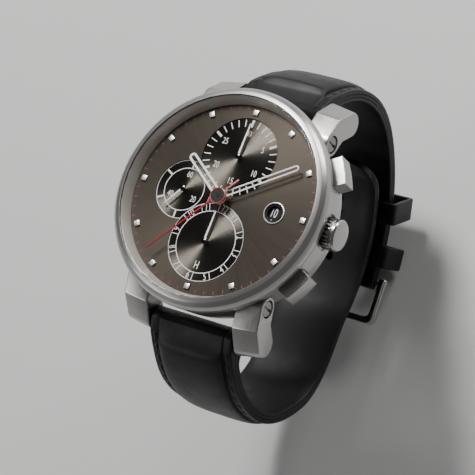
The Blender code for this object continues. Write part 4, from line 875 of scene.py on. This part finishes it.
def make_hands():
    hour = [skeleton(1.36, 1.6, HOUR_LENGTH), stadium(0.36, 1.78, HOUR_LENGTH - 0.45), circle(1.18, sides=48)]
    flat_hand("hour_hand_frame", hour, "hour", HOUR_ANGLE, 0.04, "white", "hour_hand_set", "hour_hand")
    minute = [skeleton(1.25, 1.2, MINUTE_LENGTH), stadium(0.3, 1.48, MINUTE_LENGTH - 0.3),
              circle(0.78, sides=48)]
    flat_hand("minute_hand_frame", minute, "minute", MINUTE_ANGLE, 0.04, "white", "minute_hand_set",
              "minute_hand")
    chrono = [needle(HUB_RADIUS, 0.18, CHRONO_LENGTH, 0.09, CHRONO_TAIL, 0.18), circle(1.38, sides=64)]
    flat_hand("chrono_hand_needle", chrono, "chrono", CHRONO_ANGLE, 0.03, "red", "chrono_set",
              "chrono_seconds_hand")
    base = HANDS_Z["chrono"][0] + 0.02
    hub = lathe([(0.32, base + 0.1), (1.39, base + 0.1, 0.03), (1.39, base), (0.32, base)], 96, 0.01)
    piece("chrono_hub_disc", hub, "hub", "chrono_set")
    pin = lathe([(0.0, base + 0.2), (0.22, base + 0.2, 0.03), (0.3, base + 0.08), (0.3, base), (0.0, base)],
                48, 0.01, closed=False)
    piece("chrono_hub_pin", pin, "hub", "chrono_set")
    counters = (("minute_counter_hand", "12", 0.0, 6.6, "minute_counter_set"),
                ("hour_counter_hand", "6", 0.0, 6.0, "hour_counter_set"),
                ("small_seconds_hand", "9", SECONDS_ANGLE, 4.6, "seconds_wheel_set"))
    base = HANDS_Z["counter"][0] + 0.05
    cap_shape = [(0.0, base + 0.22), (0.2, base + 0.21, 0.05), (0.56, base + 0.13, 0.03), (0.56, base),
                 (0.0, base)]
    for node, subdial, angle, length, body in counters:
        centre = SUBDIALS[subdial][0]
        flat_hand(node + "_needle", [pointed(0.5, 0.2, length, 0.1)], "counter", angle, 0.03, "white", body,
                  node, centre)
        cap = lathe(cap_shape, 48, 0.02, closed=False, centre=centre)
        piece(node + "_cap", cap, "cap_black", body)


# --- strap
def loop_normal(turn):
    angle = math.radians(turn)
    return Vector((math.sin(angle) / LOOP_Y, math.cos(angle) / LOOP_Z)).normalized()


def loop_point(turn, depth):
    angle = math.radians(turn)
    normal = loop_normal(turn)
    return (LOOP_Y * math.sin(angle) - normal.x * depth,
            LOOP_CENTRE_Z + LOOP_Z * math.cos(angle) - normal.y * depth)


HEAD = (((21.0, 1.8), (20.9, 0.2)), ((21.4, 2.9), (21.3, -0.65)), ((22.0, 3.9), (22.0, -1.0)),
        ((22.6, 4.4), (22.85, -1.05)), ((23.6, 4.56), (23.8, -1.4)))


def stations(end_turn, inset=0.0, steps=110):
    """Pairs of points on the strap's outer and inner face, from its lug bar to its end."""
    pairs = [(Vector(outer), Vector(inner), None) for outer, inner in HEAD]
    leaves, away = TAIL_LEAVES
    for i in range(steps + 1):
        turn = BODY_TURN + (end_turn - BODY_TURN) * i / steps
        thick = STRAP_THICK + (STRAP_THIN - STRAP_THICK) * ease((turn - HEAD_TURN) / 30.0)
        into_tail = ease((turn - leaves) / (away - leaves)) if inset else 0.0
        shift = inset * into_tail
        thick += (TAIL_THICK - STRAP_THIN) * into_tail
        if inset:
            thick *= 1.0 - 0.35 * ease((turn - end_turn + 6.0) / 6.0)
        pairs.append((Vector(loop_point(turn, shift)), Vector(loop_point(turn, shift + thick)), turn))
    return pairs


def half_width(point, turn, end_turn, pointed):
    start, end = NARROWS_Z
    half = STRAP_HALF + (STRAP_TIP_HALF - STRAP_HALF) * ease((start - point.y) / (start - end))
    if pointed and turn:
        into = max(0.0, (turn - end_turn + 15.0) / 15.2)
        half *= (1.0 - into ** 2.6) ** (1.0 / 2.6)
    return half


def cross_section(half, thick, drop, swell, lift):
    """Points (x, depth) round the strap: padded middle, stitched flange, layered side, lining.

    The flange lies drop below the outer line, the padding swells that share of the way back up, and the
    lining rises by lift at the edges.
    """
    flange = min(2.1, half * 0.4)
    pad = half - flange
    right = []
    for i in range(17):
        t = math.pi / 2 * i / 16
        right.append((pad * math.sin(t) ** 0.62, drop - drop * swell * math.cos(t) ** 0.62))
    right += [(pad + flange * 0.1, drop + 0.12), (pad + flange * 0.22, drop + 0.05),
              (pad + flange * 0.7, drop + 0.02), (half - 0.3, drop + 0.03), (half - 0.1, drop + 0.12),
              (half, drop + 0.3)]
    base = thick - lift
    for layer in (0.4, 0.68):
        at = drop + (base - drop) * layer
        right += [(half, at - 0.12), (half - 0.13, at), (half, at + 0.12)]
    right += [(half, base - 0.22), (half - 0.08, base - 0.08), (half - 0.25, base),
              (pad, base + lift * 0.45), (pad * 0.6, base + lift * 0.9)]
    return right + [(0.0, thick)] + [(-x, depth) for x, depth in right[:0:-1]]


def section_at(outer, inner, turn, end_turn, pointed):
    """Half width, thickness, flange depth, swell and lining lift at one station."""
    thick = (inner - outer).length
    drop = min(1.35, 0.3 * thick)
    swell = lift = 0.0
    if turn:
        swell = ease((turn - BODY_TURN) / 3.0) * ease((end_turn - 6.0 - turn) / 5.0)
        lift = max(0.0, thick - drop - EDGE_THICK) * ease((turn - BODY_TURN - 2.0) / 6.0)
    return half_width(outer, turn, end_turn, pointed), thick, drop, swell, lift


def strap_mesh(side, end_turn, inset=0.0, pointed=False):
    pairs = stations(end_turn, inset)

    def build(bm):
        rings = []
        for outer, inner, turn in pairs:
            half, thick, drop, swell, lift = section_at(outer, inner, turn, end_turn, pointed)
            ring = []
            for x, depth in cross_section(half, thick, drop, swell, lift):
                spot = outer.lerp(inner, depth / thick)
                ring.append(bm.verts.new((x, side * spot.x, spot.y)))
            rings.append(ring)
        count = len(rings[0])
        for first, second in zip(rings, rings[1:]):
            for i in range(count):
                j = (i + 1) % count
                bm.faces.new((first[i], first[j], second[j], second[i]))
        bm.faces.new(rings[0][::-1])
        bm.faces.new(rings[-1])
        bmesh.ops.recalc_face_normals(bm, faces=bm.faces)
    return mesh_from(build)


def stitches(side, end_turn, inset=0.0, pointed=False):
    """A row of short raised stitches along both edges."""
    path = []
    for outer, inner, turn in stations(end_turn, inset, 400)[len(HEAD):]:
        half, thick, drop = section_at(outer, inner, turn, end_turn, pointed)[:3]
        spot = outer.lerp(inner, (drop - 0.02) / thick)
        path.append(Vector((half - min(STITCH_INSET, half * 0.3), side * spot.x, spot.y)))
    made, run, start = [], 0.0, path[0]
    for before, after in zip(path, path[1:]):
        run += (after - before).length
        if run >= STITCH_PITCH:
            heading = (after - start).normalized()
            if after.x > 1.2:
                middle = start + heading * STITCH_LENGTH / 2.0
                made += [stitch_at(middle, heading, mirror) for mirror in (1, -1)]
            run, start = 0.0, after
    return merged(made)


def stitch_at(middle, heading, mirror):
    turn = heading.to_track_quat('Z', 'X').to_matrix().to_4x4()
    end = STITCH_LENGTH / 2
    shape = lathe([(0.0, end), (0.13, end - 0.08), (0.19, end - 0.3), (0.2, 0.0), (0.19, 0.3 - end),
                   (0.13, 0.08 - end), (0.0, -end)], 10, closed=False)
    placed = moved(shape, Matrix.Translation(middle) @ turn)
    if mirror < 0:
        placed.transform(Matrix.Diagonal((-1, 1, 1, 1)))
        placed.flip_normals()
    return placed


def make_strap():
    across = (-12, 12)
    y, z = loop_point(BUCKLE_TURN, STRAP_THIN / 2.0)
    tools = [axle(BAR_HOLE, 1, across, (BAR_Y, BAR_Z)), axle(BUCKLE_BAR_HOLE, 1, across, (y, z)),
             block((-0.9, y - 4.0, z - 4.0), (0.9, y + 2.2, z + 4.0))]
    half_12 = carved(strap_mesh(1, BUCKLE_TURN + 2.0), *tools)
    piece("strap_12_leather", half_12, "leather", "strap_half_12", "strap_12", smooth=40.0, padded=0.9)
    piece("strap_12_stitches", stitches(1, BUCKLE_TURN - 4.0), "thread", "strap_half_12")
    holes = []
    for i in range(HOLES):
        turn = FIRST_HOLE + HOLE_PITCH * i
        near, far = loop_point(turn, TAIL_INSET - 2.0), loop_point(turn, TAIL_INSET + 6.0)
        holes.append(rod(HOLE_RADIUS, (0.0, -near[0], near[1]), (0.0, -far[0], far[1]), 24))
    tail = (-1, TAIL_TURN, TAIL_INSET, True)
    half_6 = carved(strap_mesh(*tail), axle(BAR_HOLE, 1, across, (-BAR_Y, BAR_Z)), merged(holes))
    piece("strap_6_leather", half_6, "leather", "strap_half_6", "strap_6", smooth=40.0, padded=0.9)
    piece("strap_6_stitches", stitches(*tail), "thread", "strap_half_6")


def loop_frame(turn, depth):
    """Local X across the strap, Y onwards round the loop, Z outwards, on the 12 side."""
    normal = loop_normal(turn)
    y, z = loop_point(turn, depth)
    frame_here = Matrix(((1, 0, 0, 0), (0, normal.y, normal.x, y), (0, -normal.x, normal.y, z), (0, 0, 0, 1)))
    return Matrix.Diagonal((-1, 1, 1, 1)) @ frame_here


def make_buckle():
    bar_at = loop_point(BUCKLE_TURN, STRAP_THIN / 2.0)
    place = loop_frame(BUCKLE_TURN, STRAP_THIN / 2.0)
    (wide, far), (half, reach), foot = (10.6, 8.6), (8.85, 7.0), -1.3
    outline = [(wide, foot, 0.5), (wide, far, 2.2), (-wide, far, 2.2), (-wide, foot, 0.5),
               (-half, foot, 0.3), (-half, reach, 1.1), (half, reach, 1.1), (half, foot, 0.3)]
    bow = slab([rounded(outline, 0.3, steps=8)], -1.0, 1.0, 0.45, place, 4)
    bow = carved(bow, axle(0.62, 1, (-10.0, 10.0), bar_at))
    piece("buckle_bow", bow, "polished", "buckle", "buckle_frame")
    piece("buckle_pin", axle(0.55, 1, (-9.9, 9.9), bar_at, 40, 0.08), "polished", "buckle", "buckle_bar")
    side_view = [(-1.3, -1.25, 0.5), (-1.3, 0.6, 0.4), (-0.5, 1.2, 0.4), (8.3, 1.75, 0.2), (8.4, 1.15, 0.2),
                 (0.9, 0.4, 0.6), (1.15, -1.25, 0.5)]
    outlines = [rounded(side_view, 0.2, steps=6), circle(0.64, sides=48)]
    piece("buckle_prong", slab(outlines, -0.7, 0.7, 0.18, place @ SIDE_ON, 3), "polished", "tongue",
          "buckle_tongue")


def make_keepers():
    low, high = -STRAP_THIN / 2.0 - KEEPER_GAP, STRAP_THIN / 2.0 + TAIL_THICK + KEEPER_GAP
    half, ends = KEEPER_HALF, KEEPER_WIDTH / 2
    outer = [(half, low), (half, high), (-half, high), (-half, low)]
    inner = [(math.copysign(half - KEEPER_SIDE, x), z - math.copysign(KEEPER_WALL, z - (low + high) / 2.0))
             for x, z in outer]
    outlines = [rounded(outer, 1.1, steps=8), rounded(inner, 0.5, steps=8)]
    upended = Matrix(((1, 0, 0, 0), (0, 0, -1, 0), (0, 1, 0, 0), (0, 0, 0, 1)))
    for name, turn in KEEPERS.items():
        band = slab(outlines, -ends, ends, 0.22, loop_frame(turn, STRAP_THIN / 2.0) @ upended, 3)
        body = "sliding_keeper" if name == "free_keeper" else "strap_half_12"
        piece(name + "_band", band, "leather", body, name)


# --- carried-over frame pieces
CARRIED = {
    "rubber": ("crystal_gasket", "caseback_gasket"),
    "nickel_stripes": ("train_bridge", "balance_cock", "rotor"),
    "nickel_round": ("main_plate", "movement_ring"),
    "polished": ("winding_stem", "crown_tube", "pusher_tube_start", "pusher_tube_reset", "pallet_fork",
                 "escape_wheel", "cannon_pinion"),
    "screw": ("setting_yoke", "pusher_spring_start", "pusher_spring_reset"),
    "brass": ("hour_wheel", "minute_wheel", "centre_wheel", "third_wheel", "fourth_wheel", "barrel",
              "chrono_wheel", "balance_wheel"),
    "blued": ("hairspring",),
}


def finish_carried():
    for finish, nodes in CARRIED.items():
        for node in nodes:
            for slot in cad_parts[node].material_slots:
                slot.material = FINISHES[finish].material


# --- floor, lights, camera
# In metres and degrees: the point looked at, and the camera's azimuth, elevation, roll and distance from it.
AIM = Vector((0.0061, -0.0062, 0.0100))
CAMERA_AZIMUTH, CAMERA_RISE, CAMERA_ROLL, CAMERA_AWAY = 70.1, 58.2, 51.2, 0.3938
CAMERA_LENS, CAMERA_SENSOR = 162.8, 36.0
FLOOR_SIZE, FLOOR_GAP = 6.0, 0.0005
SKY, SKY_STRENGTH = (0.97, 0.98, 1.0, 1.0), 0.13


def make_floor():
    mesh = mesh_from(lambda bm: bmesh.ops.create_grid(bm, x_segments=8, y_segments=8, size=FLOOR_SIZE / 2.0))
    mesh.transform(Matrix.Translation((0, 0, cad_box[0].z - FLOOR_GAP)))
    floor = bpy.data.objects.new("floor", mesh)
    bpy.context.scene.collection.objects.link(floor)
    paint("floor", "floor_paint", "floor", (0.52, 0.517, 0.508), 0.6, 0.01, 0.04, 0.01)
    mesh.materials.append(FINISHES["floor"].material)


def make_light(name, clock, elevation, distance, size, power):
    data = bpy.data.lights.new(name, 'AREA')
    data.shape = 'RECTANGLE'
    data.size, data.size_y = size
    data.energy = power
    light = bpy.data.objects.new(name, data)
    rise = math.radians(elevation)
    x, y = polar(math.cos(rise), clock)
    light.location = AIM + Vector((x, y, math.sin(rise))) * distance
    light.rotation_euler = (AIM - light.location).to_track_quat('-Z', 'Y').to_euler()
    bpy.context.scene.collection.objects.link(light)


def make_lights():
    world = bpy.data.worlds.new("studio")
    bpy.context.scene.world = world
    world.use_nodes = True
    background = world.node_tree.nodes["Background"]
    background.inputs["Color"].default_value = SKY
    background.inputs["Strength"].default_value = SKY_STRENGTH
    make_light("key_softbox", 330.0, 52.0, 0.8, (0.16, 0.26), 9.0)
    make_light("rim_strip", 20.0, 16.0, 0.8, (0.4, 0.1), 3.5)
    make_light("fill_softbox", 230.0, 30.0, 1.0, (0.5, 0.25), 2.0)


def make_camera():
    data = bpy.data.cameras.new("camera")
    data.lens, data.sensor_width, data.clip_start = CAMERA_LENS, CAMERA_SENSOR, 0.01
    camera = bpy.data.objects.new("camera", data)
    azimuth, rise, roll = (math.radians(angle) for angle in (CAMERA_AZIMUTH, CAMERA_RISE, CAMERA_ROLL))
    back = Vector((math.sin(azimuth) * math.cos(rise), -math.cos(azimuth) * math.cos(rise), math.sin(rise)))
    level = Vector((0, 0, 1)).cross(back).normalized()
    up = back.cross(level)
    right_turned = level * math.cos(roll) - up * math.sin(roll)
    up_turned = back.cross(right_turned)
    basis = Matrix((right_turned, up_turned, back)).transposed().to_4x4()
    camera.matrix_world = Matrix.Translation(AIM + back * CAMERA_AWAY) @ basis
    bpy.context.scene.collection.objects.link(camera)
    bpy.context.scene.camera = camera


make_case()
make_bezel_and_crystal()
make_back()
make_lugs()
make_crown()
make_pushers()
make_dial()
make_printing()
make_date()
make_hands()
make_strap()
make_buckle()
make_keepers()
finish_carried()
make_floor()
make_lights()
make_camera()
